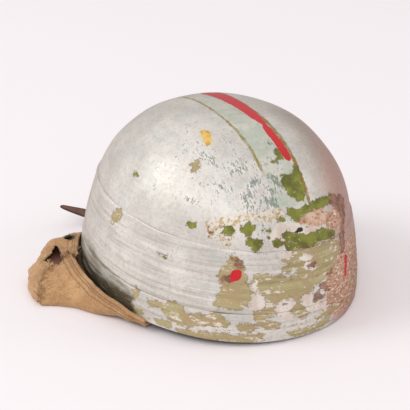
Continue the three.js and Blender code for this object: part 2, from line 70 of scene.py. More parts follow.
SKIN_ANGLES = np.arange(SKIN_COLUMNS) * 2 * math.pi / SKIN_COLUMNS

# Sizes of the canvas curtain
CANVAS_THICK = 1.6
CLOTH_THICK = 1.3
SEWN_DEPTH = 13
SEWN_CLEARANCE = 0.55
CORNER_RADIUS = 3
FOLD_RADIUS = 5
REACH = 50
RISE = 30
HEM_GAP = 10
FOOT_LEAN_DEG = 12.5
HEM_RADIUS = 1.4
HEM_COLUMNS = 8
HEM_WIDTH = 9
HEM_STITCHES = (2.2, 4.6, 9.2)
FOLD_LENGTH = 34
FOLD_FADE = 10
WELL_INSIDE = 20

# Sizes of the eyelet, the chin strap and its buckle
EYELET_HOLE_RADIUS = 4
EYELET_RADIUS = 6
STRAP_WIDTH = 13
STRAP_THICK = 2.2
STRAP_POINT_LENGTH = 34
STRAP_POINT_WIDTH = 3
STRAP_HOLE_RADIUS = 1.3
STRAP_HOLE_PITCH = 13
STRAP_HOLES = 5
FREE_END_LENGTH = 71
FREE_END_RISE = 16.5
FREE_END_HEADING_DEG = 173.5
FREE_END_TWIST_DEG = -22
WIRE_RADIUS = 1.1
BUCKLE_LENGTH = 15
BUCKLE_AT_DEG = 96
BUCKLE_AWAY = 24


# Camera and light, with their places in metres

FLOOR_HALF = 12


def place_camera():
    data = bpy.data.cameras.new("camera")
    data.lens = 104.4
    data.sensor_width = 36
    data.shift_x = -0.0332
    data.shift_y = 0.0258
    camera = bpy.data.objects.new("camera", data)
    back = Vector((-0.45504, -0.79007, 0.41076))
    camera.location = (-0.4886, -0.8858, 0.5118)
    camera.rotation_mode = "QUATERNION"
    camera.rotation_quaternion = (-back).to_track_quat("-Z", "Y")
    bpy.context.scene.collection.objects.link(camera)
    bpy.context.scene.camera = camera


def soft_light(name, place, size, power, colour):
    data = bpy.data.lights.new(name, "AREA")
    data.shape = "DISK"
    data.size = size
    data.energy = power
    data.color = colour
    lamp = bpy.data.objects.new(name, data)
    lamp.location = place
    lamp.rotation_mode = "QUATERNION"
    aim = Vector((0, 0, 0.08)) - Vector(place)
    lamp.rotation_quaternion = aim.to_track_quat("-Z", "Y")
    bpy.context.scene.collection.objects.link(lamp)


# Shell shape

def wall_share(height, inset):
    low = 1 - WALL_FLARE * np.maximum(height / SEAM_HEIGHT, 0) ** FLARE_POWER
    climbed = np.clip((height - SEAM_HEIGHT) / (HEIGHT - inset - SEAM_HEIGHT), 0, 1)
    round_top = (1 - climbed ** DOME_RISE_POWER) ** (1 / DOME_ROUND_POWER)
    return np.where(height < SEAM_HEIGHT, low, (1 - WALL_FLARE) * round_top)


def shell_point(angle, height, inset):
    angle, height, inset = np.broadcast_arrays(angle, np.asarray(height, float), inset)
    c = np.cos(angle)
    s = np.sin(angle)
    share = wall_share(height, inset)
    across = np.sign(c) * np.abs(c) ** (2 / PLAN_POWER) * (1 + BACK_WIDENING * s)
    along = np.sign(s) * np.abs(s) ** (2 / PLAN_POWER)
    x = (HALF_WIDTH - inset) * share * across
    y = (HALF_LENGTH - inset) * share * along
    return np.stack([x, y, height], -1)


def turned(points, axis, angle):
    axis = np.asarray(axis, float)
    c = math.cos(angle)
    s = math.sin(angle)
    along = (points @ axis)[..., None] * axis
    return points * c + np.cross(axis, points) * s + along * (1 - c)


LEAN_AXIS = (math.cos(math.radians(LEAN_AXIS_DEG)), math.sin(math.radians(LEAN_AXIS_DEG)), 0)
CAD_ANGLES = np.radians(np.arange(52) * 360 / 52)


def leaned(points):
    return turned(points, LEAN_AXIS, math.radians(LEAN_DEG))


LOWEST_EDGE = leaned(shell_point(CAD_ANGLES, 0, SHELL_INSET))[:, 2].min()


def placed(angle, height, inset):
    return leaned(shell_point(angle, height, inset)) - (0, 0, LOWEST_EDGE)


def outward(angle):
    step = placed(angle + 0.01, 0, 0) - placed(angle - 0.01, 0, 0)
    side = np.stack([step[..., 1], -step[..., 0], 0 * step[..., 0]], -1)
    return side / np.linalg.norm(side, axis=-1, keepdims=True)


def beyond_rim(angle, away, height):
    spot = placed(angle, 0, 0) + outward(angle) * np.asarray(away)[..., None]
    spot[..., 2] = height
    return spot


def rim_spot(degrees, away, height):
    return beyond_rim(np.array([math.radians(degrees)]), [away], height)[0]


def seam_height(angle):
    rim = shell_point(angle, 0, 0)
    return SEAM_HEIGHT + SEAM_LEAN_SIDE * rim[..., 0] + SEAM_LEAN_BACK * rim[..., 1]


# The CAD model is centred on its own box, so the rim band's box gives the move between the two.
def cad_move():
    rims = [placed(CAD_ANGLES, h, -RIM_BAND_PROUD) for h in (RIM_BAND_LIFT, RIM_BAND_HEIGHT)]
    own = np.concatenate(rims)
    low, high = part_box("rim_band")
    middle = np.array([low.x + high.x, low.y + high.y]) * 500
    own_middle = (own.min(0) + own.max(0))[:2] / 2
    return np.array([*(middle - own_middle), 0])


MOVE = cad_move()

# Height on the shell against the length of wall below it, both in millimetres
WALL_HEIGHTS = np.concatenate([np.linspace(0, 150, 301), 160 - 10 * np.linspace(1, 0, 200)[1:] ** 3])


def wall_lengths():
    share = wall_share(WALL_HEIGHTS, 0) * MEAN_RADIUS
    steps = np.hypot(np.diff(WALL_HEIGHTS), np.diff(share))
    return np.concatenate([[0], np.cumsum(steps)])


WALL_LENGTHS = wall_lengths()


def climb(height):
    return np.interp(height, WALL_HEIGHTS, WALL_LENGTHS)


# Slow, smooth bumps from a few waves in set directions
def waves(points, seed, length, count=14):
    chance = np.random.default_rng(seed)
    ways = chance.normal(size=(count, 3))
    ways /= np.linalg.norm(ways, axis=1)[:, None]
    lengths = length * chance.uniform(0.6, 1.6, count)
    starts = chance.uniform(0, 2 * math.pi, count)
    total = np.zeros(points.shape[:-1])
    for way, size, start in zip(ways, lengths, starts):
        total += np.sin(points @ way * (2 * math.pi / size) + start)
    return total / math.sqrt(count / 2)


# Paint charts. Each outline is round one patch of bared or added paint, in degrees round the shell
# and millimetres of height, as the photo shows it.
WALL_PATCHES = {
    "olive": [
        [(269, 131.5), (273, 132), (276.5, 131), (278, 134), (281.5, 136), (280.6, 129), (280.3, 124.7),
         (279, 119.5), (276.6, 114.5), (273, 113.9), (271.9, 116.3), (270, 119.5), (269, 121.5),
         (268.2, 125.4)],
        [(265, 111.5), (268.6, 110.5), (272.9, 108.8), (277.5, 109.6), (281.2, 110.3), (285, 110.4),
         (290.5, 110.2), (296.7, 110), (300, 107.5), (294.8, 105), (291.5, 105.3), (285, 105.8),
         (281.4, 105.5), (277.7, 104.8), (275, 104.3), (272.8, 102.9), (270.7, 100.5), (268.7, 100.8),
         (267, 103.8), (265.9, 107)],
        [(262.4, 91.6), (264.2, 94), (265, 91.8), (267.7, 91), (270.7, 88.9), (274, 88.5), (277.4, 89.7),
         (280.6, 90), (283.3, 90.3), (285.5, 87), (289.6, 84.8), (293.5, 81.8), (292.6, 78.9), (289, 78.4),
         (283.8, 79), (279.9, 79.5), (276, 78), (272.3, 78.4), (268.6, 79.8), (266.3, 78.9), (263.7, 78.9),
         (263.2, 81.8), (264.8, 83.3), (267.5, 84.4), (265.3, 87), (263.9, 87.5)],
        [(235.2, 95), (235.7, 98.3), (237.6, 98.7), (239.6, 96.8), (239.8, 95), (238.8, 93.4), (238.8, 91.5),
         (237, 91.8), (235.8, 92.2), (235, 93.5)],
        [(242.6, 96.8), (243.6, 99.8), (245.3, 100.6), (246, 103), (247.3, 103.5), (247.6, 100.8),
         (249.5, 100), (249.3, 97), (248, 95.6), (247, 93.1), (247.4, 90.6), (245, 92.3), (244, 94.3),
         (242.9, 95.3)],
        [(245, 90.3), (247.5, 91.2), (249.6, 90.4), (251.8, 88.1), (253.2, 85.6), (252.5, 83.4),
         (251.3, 80.7),
         (248.9, 80.7), (248, 83), (246, 85.8), (245.3, 87.6)],
        [(253.4, 97), (254.4, 98.2), (256.9, 97.8), (256.4, 94.9), (254.4, 94.9)],
        [(254.3, 92.3), (255.3, 93.2), (256.8, 91.9), (256.3, 90.2)],
        [(257.5, 87.1), (258.7, 89.4), (260, 89), (261, 87.1), (261.8, 84.3), (260.3, 82.4), (258.2, 83.4),
         (257.5, 85.7)],
        [(260.6, 104), (261.9, 105.2), (264.8, 104.8), (264.5, 102.9), (262.4, 102), (260.8, 102.5)],
        [(219.2, 96.3), (220.7, 97.5), (223.2, 97.9), (222.9, 95.2), (221.2, 93), (219.4, 93.6)],
        [(183.8, 113.5), (185, 115.8), (185.9, 115), (187.5, 114.8), (186.9, 113.7), (184.7, 112.8)],
        [(207.6, 66.2), (209.4, 66), (212, 64.3), (211.8, 62.9), (209.4, 64.2), (207.8, 64.8)],
        [(60, 60), (66, 66), (72, 63), (78, 60), (75, 52), (68, 50), (62, 54)],
        [(20, 118), (27, 122), (33, 117), (30, 110), (22, 109)],
        [(112, 96), (119, 100), (124, 94), (118, 89)],
        [(330, 90), (338, 95), (345, 91), (341, 83), (333, 82)],
    ],
    "khaki": [
        [(265.8, 77.3), (265.1, 73.1), (260.9, 75), (260.6, 70.9), (264.6, 68), (261.1, 66.4), (261.6, 63.6),
         (264.6, 61.8), (267.1, 64.5), (269, 62.3), (266, 58.2), (264.5, 56.9), (260, 59.3), (254, 60.7),
         (251, 61.8), (248.5, 60.4), (249.3, 57.7), (250.6, 51.6), (251.6, 46.8), (254, 42.7), (254.6, 38.8),
         (253.6, 36), (254, 31.5), (258.6, 32.6), (258.1, 35.6), (260.5, 37.4), (263.9, 39.5), (266.9, 36.5),
         (269.3, 31.2), (269.9, 40), (272.1, 39.5), (275, 42), (276.8, 45), (279.8, 47.3), (282.9, 50.2),
         (286.5, 52.4), (290, 60), (293.4, 65), (294.2, 71), (288.6, 76.6), (280.5, 78.2), (272.9, 78.6),
         (268.6, 79.4)],
        [(233.7, 36.5), (234.9, 40.6), (236, 47.7), (238.3, 47.6), (240.1, 48.4), (242.4, 47.6),
         (244.6, 46.7),
         (246.9, 48.8), (248.7, 45.9), (247.8, 41), (246.9, 35), (245.1, 34), (243.3, 31), (240.5, 30.8),
         (238.3, 31.3), (236, 31.9), (234.4, 34.8)],
        [(234.3, 58.4), (235, 64), (238, 69), (238.5, 74), (239.4, 76.5), (241.8, 74), (244.7, 67),
         (246.7, 59.7), (245.3, 56), (243, 55), (238.3, 53.8), (235.4, 55)],
        [(237, 45), (236, 50), (236.4, 56), (245, 57), (246.5, 52), (246, 46)],
        [(248.5, 44), (247, 50), (248, 57), (251, 55), (251, 48)],
        [(207.3, 21.5), (210, 23.5), (212, 24), (213.7, 22.5), (213.8, 20.5), (211, 18.5), (208.2, 18.3)],
        [(215.3, 26.4), (217.6, 28.9), (220, 26.5), (221.8, 25.5), (221.8, 21.5), (224.5, 21), (228, 24),
         (230, 22.7), (231.7, 25.5), (234.5, 27), (237.4, 22.2), (240.5, 19.6), (239.2, 14.2), (237, 15.7),
         (233.8, 14), (231.1, 15), (228.4, 12.9), (224.5, 9.5), (220, 10), (217.6, 10.8), (215.3, 14),
         (213, 16.8)],
        [(210.4, 6.3), (213, 8.3), (215.8, 8.7), (217.4, 6.7), (216.7, 3), (214.5, 2.5), (211.3, 3)],
        [(219.9, 4), (223.5, 5.8), (226.2, 6.8), (229.8, 7.4), (233.4, 9), (236, 9), (239, 7.6), (242.5, 6),
         (245.1, 8.4), (250.4, 9.5), (253.9, 8.6), (253.9, 3), (250.4, 1), (244.2, 1), (239.9, 2.2),
         (235.5, 1.7), (231.1, 1.8), (226.2, 1.5), (219.9, 0.8)],
        [(199, 24.7), (200.6, 28), (202.3, 26.3), (202, 22.7), (200.6, 19.3), (200.3, 15), (198.5, 14.3),
         (199.3, 19.8)],
        [(250.1, 29.6), (252.7, 30.2), (254.9, 29.7), (257.1, 30.5), (258.4, 28), (258.6, 26), (257.1, 24.5),
         (254.5, 24), (254.5, 22), (257.1, 21), (259.3, 18.3), (259.7, 15), (257.1, 14.8), (254.5, 14.8),
         (252.7, 15.8), (251, 18), (250.3, 24)],
        [(243.3, 18.5), (245.9, 19), (248.5, 17.5), (250.3, 15), (249.4, 12), (246.8, 12.3), (244.1, 12.8)],
        [(264.3, 7.5), (267.2, 8.2), (270, 8.7), (276.1, 9.4), (281.6, 10.5), (283.3, 13.5), (284.5, 9),
         (281.8, 3.5), (276.3, 2), (270.1, 2.5), (266.2, 3)],
        [(264.8, 28.5), (267, 30.5), (270, 28.5), (274, 24), (272, 19.5), (270, 18.5), (267, 21.5)],
        [(276, 17), (279, 19.5), (284, 18), (288, 20), (293, 17), (290, 13.5), (283, 14), (278, 13)],
        [(181, 78), (182.9, 81), (185.5, 83.5), (186.4, 81.2), (186.4, 78.5), (184.6, 74.8), (183.2, 71.8),
         (182, 67.5), (181.2, 68), (181.5, 72), (180.2, 74)],
        [(214.3, 135.5), (215.3, 138), (217.2, 137), (217.5, 134), (215.6, 131.7), (213.7, 132.5)],
        [(184.3, 10), (187.6, 13), (193.8, 12), (199, 10), (205, 8), (203, 3), (196.3, 4), (190.5, 6),
         (185, 7.5)],
        [(20, 23), (30, 25), (42, 21), (55, 24), (66, 20), (60, 13), (45, 11), (32, 14), (22, 12)],
        [(85, 22), (98, 24), (110, 19), (121, 22), (130, 16), (118, 9), (102, 12), (90, 10)],
        [(338, 24), (350, 21), (2, 25), (10, 17), (0, 12), (346, 14), (336, 12)],
        [(310, 24), (320, 26), (327, 20), (322, 9), (312, 11)],
        [(8, 44), (14, 50), (22, 47), (20, 38), (11, 37)],
        [(96, 54), (104, 58), (113, 52), (108, 45), (99, 46)],
    ],
    "cream": [
        [(257, 98.8), (259.8, 100), (264.3, 101), (269.5, 100), (271.5, 98), (274, 95.8), (280.3, 93),
         (285, 91.5), (285.5, 90.5), (282.6, 90), (278.7, 90), (274.8, 89), (271.3, 88.5), (267.7, 91.3),
         (265, 92), (264, 94.3), (262.4, 92), (262, 87), (262.5, 84), (262, 82), (258, 82), (256.5, 87),
         (256.5, 93)],
        [(270, 72.8), (272.7, 74), (275.1, 71.7), (275.1, 68), (272.1, 67.8), (270, 69.5)],
        [(269.8, 36.7), (272, 39), (274.2, 37.5), (275.7, 32), (278.7, 30.5), (282.2, 27), (283.4, 20.5),
         (282.2, 16), (279.3, 21.6), (275.7, 25), (273.3, 21.8), (272.1, 23.4), (270.3, 28.7), (269.8, 33)],
        [(259.6, 36.4), (262, 37), (264.4, 37.7), (265.4, 36.5), (263.9, 34.9), (266.8, 31.9), (265.4, 30.5),
         (261.5, 32.2), (259.6, 34.4)],
        [(258.4, 29.7), (261.1, 31.3), (264, 28.6), (265, 25), (266.4, 22.2), (265.5, 20.2), (262.6, 21.8),
         (260.1, 23.3), (258.7, 26.5)],
        [(248, 52), (250, 56.5), (251, 50), (253, 44), (253.5, 36), (252, 31.5), (249, 31), (248.5, 38),
         (249.5, 45)],
        [(271.5, 65), (274, 66), (275.5, 64), (274.5, 61.5), (272, 61.5)],
        [(262, 77.5), (265, 78), (266.5, 75.5), (264.5, 73.5), (262, 74.5)],
    ],
    "peach": [
        [(272.8, 102.9), (277.7, 104.4), (282.8, 105.4), (288, 105.7), (287.7, 99.6), (287.8, 95.8),
         (286, 92.9), (281.6, 92.8), (277.8, 93.8), (274.2, 96), (271.2, 97.5), (270.2, 99.8)],
        [(285, 110.5), (289, 110.6), (291, 107), (288, 104.5), (285, 105.5)],
    ],
    "rosy": [
        [(288, 95.8), (289.5, 99.5), (296.3, 100.5), (300.7, 94), (302, 87), (299, 80.5), (294.6, 81.5),
         (287.8, 86.6), (286.5, 91)],
        [(284, 50), (288, 56), (292, 63), (296, 66), (306, 66), (322, 64), (330, 50), (332, 30), (326, 14),
         (310, 6), (295, 5), (286, 10), (282, 16), (283.4, 24), (283, 34), (281.5, 42)],
    ],
    "brown": [
        [(296.5, 109), (300.5, 107.5), (307, 103.5), (308.8, 100), (307.5, 94), (305.4, 88), (303.8, 82.5),
         (301, 75.5), (299.5, 67.5), (298.5, 59.5), (294.5, 62.5), (295.5, 72), (298.3, 78.5), (301.5, 86),
         (300.3, 92), (298.8, 96), (296, 101), (294.3, 104.8)],
        [(278.6, 43.8), (281, 44.7), (282.8, 42), (283.4, 37), (284.9, 35), (281.6, 35.3), (279.8, 39.7)],
        [(276.5, 36.6), (278.6, 36.9), (281.6, 33.5), (281, 30.5), (278.6, 31), (276.8, 30), (275.6, 32)],
        [(260.3, 34.4), (263.4, 35.5), (264, 33.4), (261, 32.3)],
        [(227.8, 99), (228.8, 97), (229.6, 93), (229.8, 89), (228.6, 88.5), (228.2, 92)],
        [(240, 77), (241.2, 74), (243.5, 70.5), (245, 66), (243.5, 67.5), (241, 71.5), (239.5, 75)],
        [(283, 51), (285.5, 53.5), (287, 50.5), (285, 48)],
        [(272.5, 64), (275, 65.2), (276.5, 64), (274.5, 62.6)],
        [(236.5, 58), (239, 58.5), (239, 55.5), (236.5, 55)],
    ],
    "ochre": [
        [(227.5, 99), (231, 103), (236, 105.5), (240, 104.5), (245, 108.5), (251, 109.9), (257, 110.8),
         (262, 111.3), (265, 111.3), (264, 106), (258, 103), (252, 103), (247, 104), (243, 100), (241, 99),
         (240, 91), (238.5, 84), (236.5, 82), (235, 88), (231, 88), (229, 88), (228, 92)],
    ],
    "dark": [
        [(268.3, 92.4), (269.7, 95), (271.5, 96.1), (275.8, 95), (275.8, 94.3), (272.6, 94.8), (270.6, 93.8),
         (271.9, 92.3), (271.6, 91.8), (269.6, 92)],
    ],
    "red": [
        [(239.2, 61.2), (240.2, 64.6), (242.4, 66), (243.9, 64.6), (243.9, 60.6), (243.4, 57.2),
         (241.5, 55.8),
         (239.7, 54.2), (239.1, 56.5)],
        [(298.3, 57.5), (301, 54.5), (299.7, 49.3), (298.9, 44.4), (298.8, 37), (296.6, 38), (296.4, 44.4),
         (297.5, 49.2), (297, 54)],
    ],
    # a dark stain low on the wall, together with painted shade where the curtain overhangs it
    "soot_and_shade": [
        [(146, 20), (158, 28), (166, 33), (173, 34), (180, 31), (187, 28), (192, 26), (197, 24), (200, 18),
         (199, 11), (202, 5), (198, 0), (185, 0), (170, 0), (150, 0)],
    ],
}

# The same in plan millimetres across and along the helmet, for what is near the crown
CROWN_PATCHES = {
    "red": [
        [(9, 58), (14, 50), (17, 40), (18, 20), (18, 5), (17.5, -10), (16.5, -25), (15, -36), (14, -40),
         (15, -50), (15, -65), (15.3, -78), (14.5, -81.5), (11.5, -83), (8.5, -81), (7.5, -76), (7.2, -70),
         (6.8, -62), (7, -52), (7.5, -44), (10, -41), (10.6, -38.5), (8.5, -35.5), (6, -26), (5.8, -15),
         (5.2, -5), (4.5, 5), (3, 20), (1.5, 35), (0, 50), (3, 58)],
    ],
    "olive": [
        [(3.5, -70.5), (7.5, -72), (8, -76), (6, -80), (1.8, -81.5), (-4, -83), (-6, -82), (0.4, -80),
         (1.5, -76)],
        [(14, -88), (16.5, -88), (17, -93), (15.5, -97), (13, -95)],
    ],
    "gold": [
        [(-43.5, -25), (-39.3, -25.9), (-37.3, -30), (-39, -37), (-40.7, -41.5), (-43.6, -44.7),
         (-46.8, -44.6), (-46.4, -40), (-45.3, -33)],
    ],
}


def depth_inside(outline, across, up):
    nearest = np.full(across.shape, 1e9)
    inside = np.zeros(across.shape, bool)
    for (ax, ay), (bx, by) in zip(outline, outline[1:] + outline[:1]):
        dx = bx - ax
        dy = by - ay
        share = np.clip(((across - ax) * dx + (up - ay) * dy) / (dx * dx + dy * dy), 0, 1)
        nearest = np.minimum(nearest, np.hypot(across - ax - share * dx, up - ay - share * dy))
        crossing = (ay > up) != (by > up)
        at = ax + (up - ay) * dx / (dy if dy else 1e-9)
        inside ^= crossing & (across < at)
    return np.where(inside, nearest, -nearest)


DEEPEST = 12


def wall_depth(outlines, angle, height):
    deep = np.full(angle.shape, -float(DEEPEST))
    lengths = climb(height)
    for outline in outlines:
        middle_angle = math.radians(outline[0][0])
        middle_height = sum(point[1] for point in outline) / len(outline)
        radius = wall_share(np.array(middle_height), 0) * MEAN_RADIUS
        turn = (angle - middle_angle + math.pi) % (2 * math.pi) - math.pi
        flat = []
        for degrees, level in outline:
            swing = (math.radians(degrees) - middle_angle + math.pi) % (2 * math.pi) - math.pi
            flat.append((swing * radius, float(climb(level))))
        edge = np.array(flat)
        low = edge.min(0) - DEEPEST
        high = edge.max(0) + DEEPEST
        across = turn * radius
        by = (across > low[0]) & (across < high[0]) & (lengths > low[1]) & (lengths < high[1])
        if by.any():
            deep[by] = np.maximum(deep[by], depth_inside(flat, across[by], lengths[by]))
    return np.clip(deep, -DEEPEST, DEEPEST)


def crown_depth(outlines, across, along, on_crown):
    deep = np.full(across.shape, -float(DEEPEST))
    for outline in outlines:
        found = np.clip(depth_inside(outline, across, along), -DEEPEST, DEEPEST)
        deep = np.where(on_crown, np.maximum(deep, found), deep)
    return deep


# Soft spots of fine scratches: degrees round, height, size, and how dense they are
SCRATCHED_SPOTS = [
    (252, 131, 17, 1), (262, 126, 15, 1), (267, 139, 10, 1.2), (259, 121, 10, 0.9), (243, 126, 14, 0.7),
    (225, 119, 12, 0.8), (219, 112, 10, 0.7), (213, 144, 10, 0.9), (207, 148, 9, 0.8), (231, 104, 12, 0.6),
    (247, 113, 12, 0.5), (255, 108, 12, 0.7), (185, 96, 9, 0.5), (176, 104, 12, 0.5), (188, 152, 12, 0.6),
    (272, 148, 9, 0.9), (250, 92, 14, 0.5), (211, 68, 9, 0.5), (235, 88, 10, 0.6), (264, 98, 12, 0.6),
    (222, 140, 8, 0.5), (300, 138, 10, 0.4), (40, 120, 20, 0.6), (100, 115, 22, 0.6), (140, 125, 16, 0.5),
    (340, 118, 18, 0.5), (200, 122, 16, 0.45), (210, 132, 16, 0.5), (233, 138, 15, 0.6), (238, 150, 13, 0.6),
    (192, 136, 15, 0.4), (228, 128, 14, 0.5),
]


def scratched(angle, height):
    dense = np.full(angle.shape, 0.3)
    for degrees, level, size, amount in SCRATCHED_SPOTS:
        radius = wall_share(np.array(float(level)), 0) * MEAN_RADIUS
        turn = (angle - math.radians(degrees) + math.pi) % (2 * math.pi) - math.pi
        away = np.hypot(turn * radius, climb(height) - climb(level))
        dense += amount * np.exp(-((away / size) ** 2))
    return np.clip(dense, 0, 1.5)


def paint_chart(angle, height, inset):
    spot = shell_point(angle, height, inset)
    across = spot[..., 0]
    along = spot[..., 1]
    on_crown = height > 112
    chart = {kind: wall_depth(outlines, angle, height) for kind, outlines in WALL_PATCHES.items()}
    for kind, outlines in CROWN_PATCHES.items():
        chart[kind] = np.maximum(chart.get(kind, -DEEPEST), crown_depth(outlines, across, along, on_crown))
    chart["spot"] = spot / 1000
    chart["scratched"] = scratched(angle, height)
    return chart


# Meshes

def piece_from(name, points, faces, uv=None, values=None, slot_of_face=None):
    mesh = bpy.data.meshes.new(name)
    place = (np.asarray(points, float) + MOVE) / 1000
    mesh.from_pydata(place.tolist(), [], faces)
    mesh.update()
    if uv is not None:
        layer = mesh.uv_layers.new(name="UVMap")
        layer.data.foreach_set("uv", np.asarray(uv, np.float32).ravel())
    for key, numbers in (values or {}).items():
        numbers = np.asarray(numbers, np.float32)
        kind, field = ("FLOAT_VECTOR", "vector") if numbers.ndim == 2 else ("FLOAT", "value")
        mesh.attributes.new(key, kind, "POINT").data.foreach_set(field, numbers.ravel())
    mesh.polygons.foreach_set("use_smooth", [True] * len(mesh.polygons))
    if slot_of_face is not None:
        mesh.polygons.foreach_set("material_index", slot_of_face)
    thing = bpy.data.objects.new(name, mesh)
    bpy.context.scene.collection.objects.link(thing)
    return thing


def settled(thing):
    graph = bpy.context.evaluated_depsgraph_get()
    mesh = bpy.data.meshes.new_from_object(thing.evaluated_get(graph), depsgraph=graph)
    old = thing.data
    thing.modifiers.clear()
    thing.data = mesh
    mesh.name = thing.name
    if isinstance(old, bpy.types.Mesh):
        bpy.data.meshes.remove(old)
    return thing


def finish_piece(thing, slot, *nodes):
    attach(thing, "root")
    if nodes:
        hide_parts(*nodes)


# A skin round the helmet from rows of heights and insets. The first and last rows may be poles.
def helmet_skin(name, heights, insets, poles, painted_rows, bumps=0.0):
    rows, columns = heights.shape
    points = placed(SKIN_ANGLES[None, :], heights, insets)
    outwards = points - (0, 0, HEIGHT / 3)
    outwards /= np.linalg.norm(outwards, axis=2, keepdims=True)
    points = points + outwards * np.asarray(bumps)[..., None]
    points = points.reshape(-1, 3)
    angles = np.broadcast_to(SKIN_ANGLES[None, :], heights.shape)
    chart = paint_chart(angles, heights, np.maximum(insets, 0))
    values = {key: list(chart[key].reshape(points.shape if key == "spot" else -1)) for key in chart}
    lengths = climb(heights)
    faces = []
    uv = []
    slots = []
    turn = 2 * math.pi / columns * MEAN_RADIUS / 1000
    joins = rows if not poles else rows - 1
    for r in range(joins):
        s = (r + 1) % rows
        for c in range(columns):
            d = (c + 1) % columns
            faces.append((r * columns + c, r * columns + d, s * columns + d, s * columns + c))
            low = lengths[r, c] / 1000
            high = lengths[s, c] / 1000
            left = c * turn
            right = (c + 1) * turn
            uv += [(left, low), (right, low), (right, high), (left, high)]
            slots.append(0 if r in painted_rows else 1)
    if poles:
        ends = [(rows - 1, poles[1]), (0, poles[0])]
        for row, inset in ends:
            tip = len(points)
            top = leaned(np.array([[0, 0, HEIGHT - inset]])) - (0, 0, LOWEST_EDGE)
            points = np.concatenate([points, top])
            for key in values:
                values[key].append(np.mean(chart[key][row], 0))
            for c in range(columns):
                d = (c + 1) % columns
                start = row * columns
                face = (start + c, start + d, tip) if row else (start + d, start + c, tip)
                faces.append(face)
                level = lengths[row, c] / 1000
                uv += [(c * turn, level), ((c + 1) * turn, level), ((c + 0.5) * turn, level + 0.002)]
                slots.append(0 if row else 1)
    return piece_from(name, points, faces, uv, values, slots)


def even_heights(low, high, step, inset):
    crown = (160 - inset) - (10 - inset) * np.linspace(1, 0, 300)[1:] ** 3
    levels = np.concatenate([np.linspace(low, 150, 400), crown])
    levels = levels[levels <= high]
    share = wall_share(levels, inset) * MEAN_RADIUS
    lengths = np.concatenate([[0], np.cumsum(np.hypot(np.diff(levels), np.diff(share)))])
    count = max(int(lengths[-1] / step), 2)
    return np.interp(np.linspace(0, lengths[-1], count + 1), lengths, levels)


def shell_skin():
    outer = even_heights(1.2, 160 - SHELL_INSET - 0.0006, 2.1, SHELL_INSET)
    inner = even_heights(1.2, 160 - INNER_INSET - 0.0006, 7, INNER_INSET)[::-1]
    edge_heights = [0.35, 0.0, 0.0, 0.35]
    edge_insets = [INNER_INSET - 0.35, INNER_INSET - 1.2, SHELL_INSET + 1.2, SHELL_INSET + 0.35]
    levels = np.concatenate([inner, edge_heights, outer])
    insets = np.concatenate([np.full(len(inner), INNER_INSET), edge_insets, np.full(len(outer), SHELL_INSET)])
    heights = np.repeat(levels[:, None], SKIN_COLUMNS, 1)
    depth = np.repeat(insets[:, None], SKIN_COLUMNS, 1)
    bumps = waves(shell_point(SKIN_ANGLES[None, :], heights, depth), 5, 55) * 0.22
    above = np.clip((heights - seam_height(SKIN_ANGLES)[None, :] - 1) / 8, 0, 1)
    outside = np.arange(len(levels)) > len(inner) + 3
    bumps = np.where(outside[:, None], bumps * above, 0)
    bumps = bumps * np.clip((158 - heights) / 8, 0, 1)
    painted = set(range(len(inner) + 2, len(levels)))
    return helmet_skin("shell_skin", heights, depth, (INNER_INSET, SHELL_INSET), painted, bumps)


def level_height(height):
    return lambda angle: np.full(angle.shape, float(height))


# A wound band. Each row is a share of the way up, a lift and an inset. Its edges are uneven.
def band_skin(name, rows, bottom, top_at, seed, uneven, proud):
    rim = shell_point(SKIN_ANGLES, 0, 0)
    top = top_at(SKIN_ANGLES) + waves(rim, seed, 26) * uneven
    heights = np.array([bottom * (1 - share) + top * share + lift for share, lift, _ in rows])
    insets = np.array([np.full(SKIN_COLUMNS, inset) for _, _, inset in rows])
    spots = shell_point(SKIN_ANGLES[None, :], heights, insets)
    stretched = spots * (1, 1, 5)
    bumps = waves(spots, seed + 1, 46) * 0.16 + waves(stretched, seed + 2, 24) * proud
    outside = insets < BAND_FOOT - 0.3
    insets = np.where(outside, insets - bumps, insets)
    painted = {
        r for r in range(len(rows)) if rows[r][2] < BAND_FOOT - 0.01 or rows[(r + 1) % len(rows)][2] < 1.2
    }
    return helmet_skin(name, heights, insets, None, painted)


def side_band_rows():
    rows = [(0, 0.9, BAND_FOOT), (0, 0.3, 0.9), (0, 0, 0.45), (0, 0.5, 0.12)]
    rows += [(share, 0, 0) for share in np.linspace(0.03, 0.93, 27)]
    rows += [(1, -1.5, 0), (1, -1.1, 0.08), (1, -0.75, 0.28), (1, -0.45, 0.6), (1, -0.15, 0.95)]
    rows.append((1, 0, BAND_FOOT))
    rows += [(share, 0, BAND_FOOT) for share in (0.75, 0.5, 0.25)]
    return rows


def rim_band_rows():
    rows = [(0, 0.5, BAND_FOOT), (0, 0, 0.7), (0, 0.15, -0.1), (0, 0.8, -0.45)]
    rows += [(share, 0, -RIM_BAND_PROUD) for share in np.linspace(0.08, 0.92, 13)]
    rows += [(1, -0.9, -0.46), (1, -0.3, -0.2), (1, 0, 0.3), (1, 0, BAND_FOOT)]
    rows += [(share, 0, BAND_FOOT) for share in (0.66, 0.33)]
    return rows


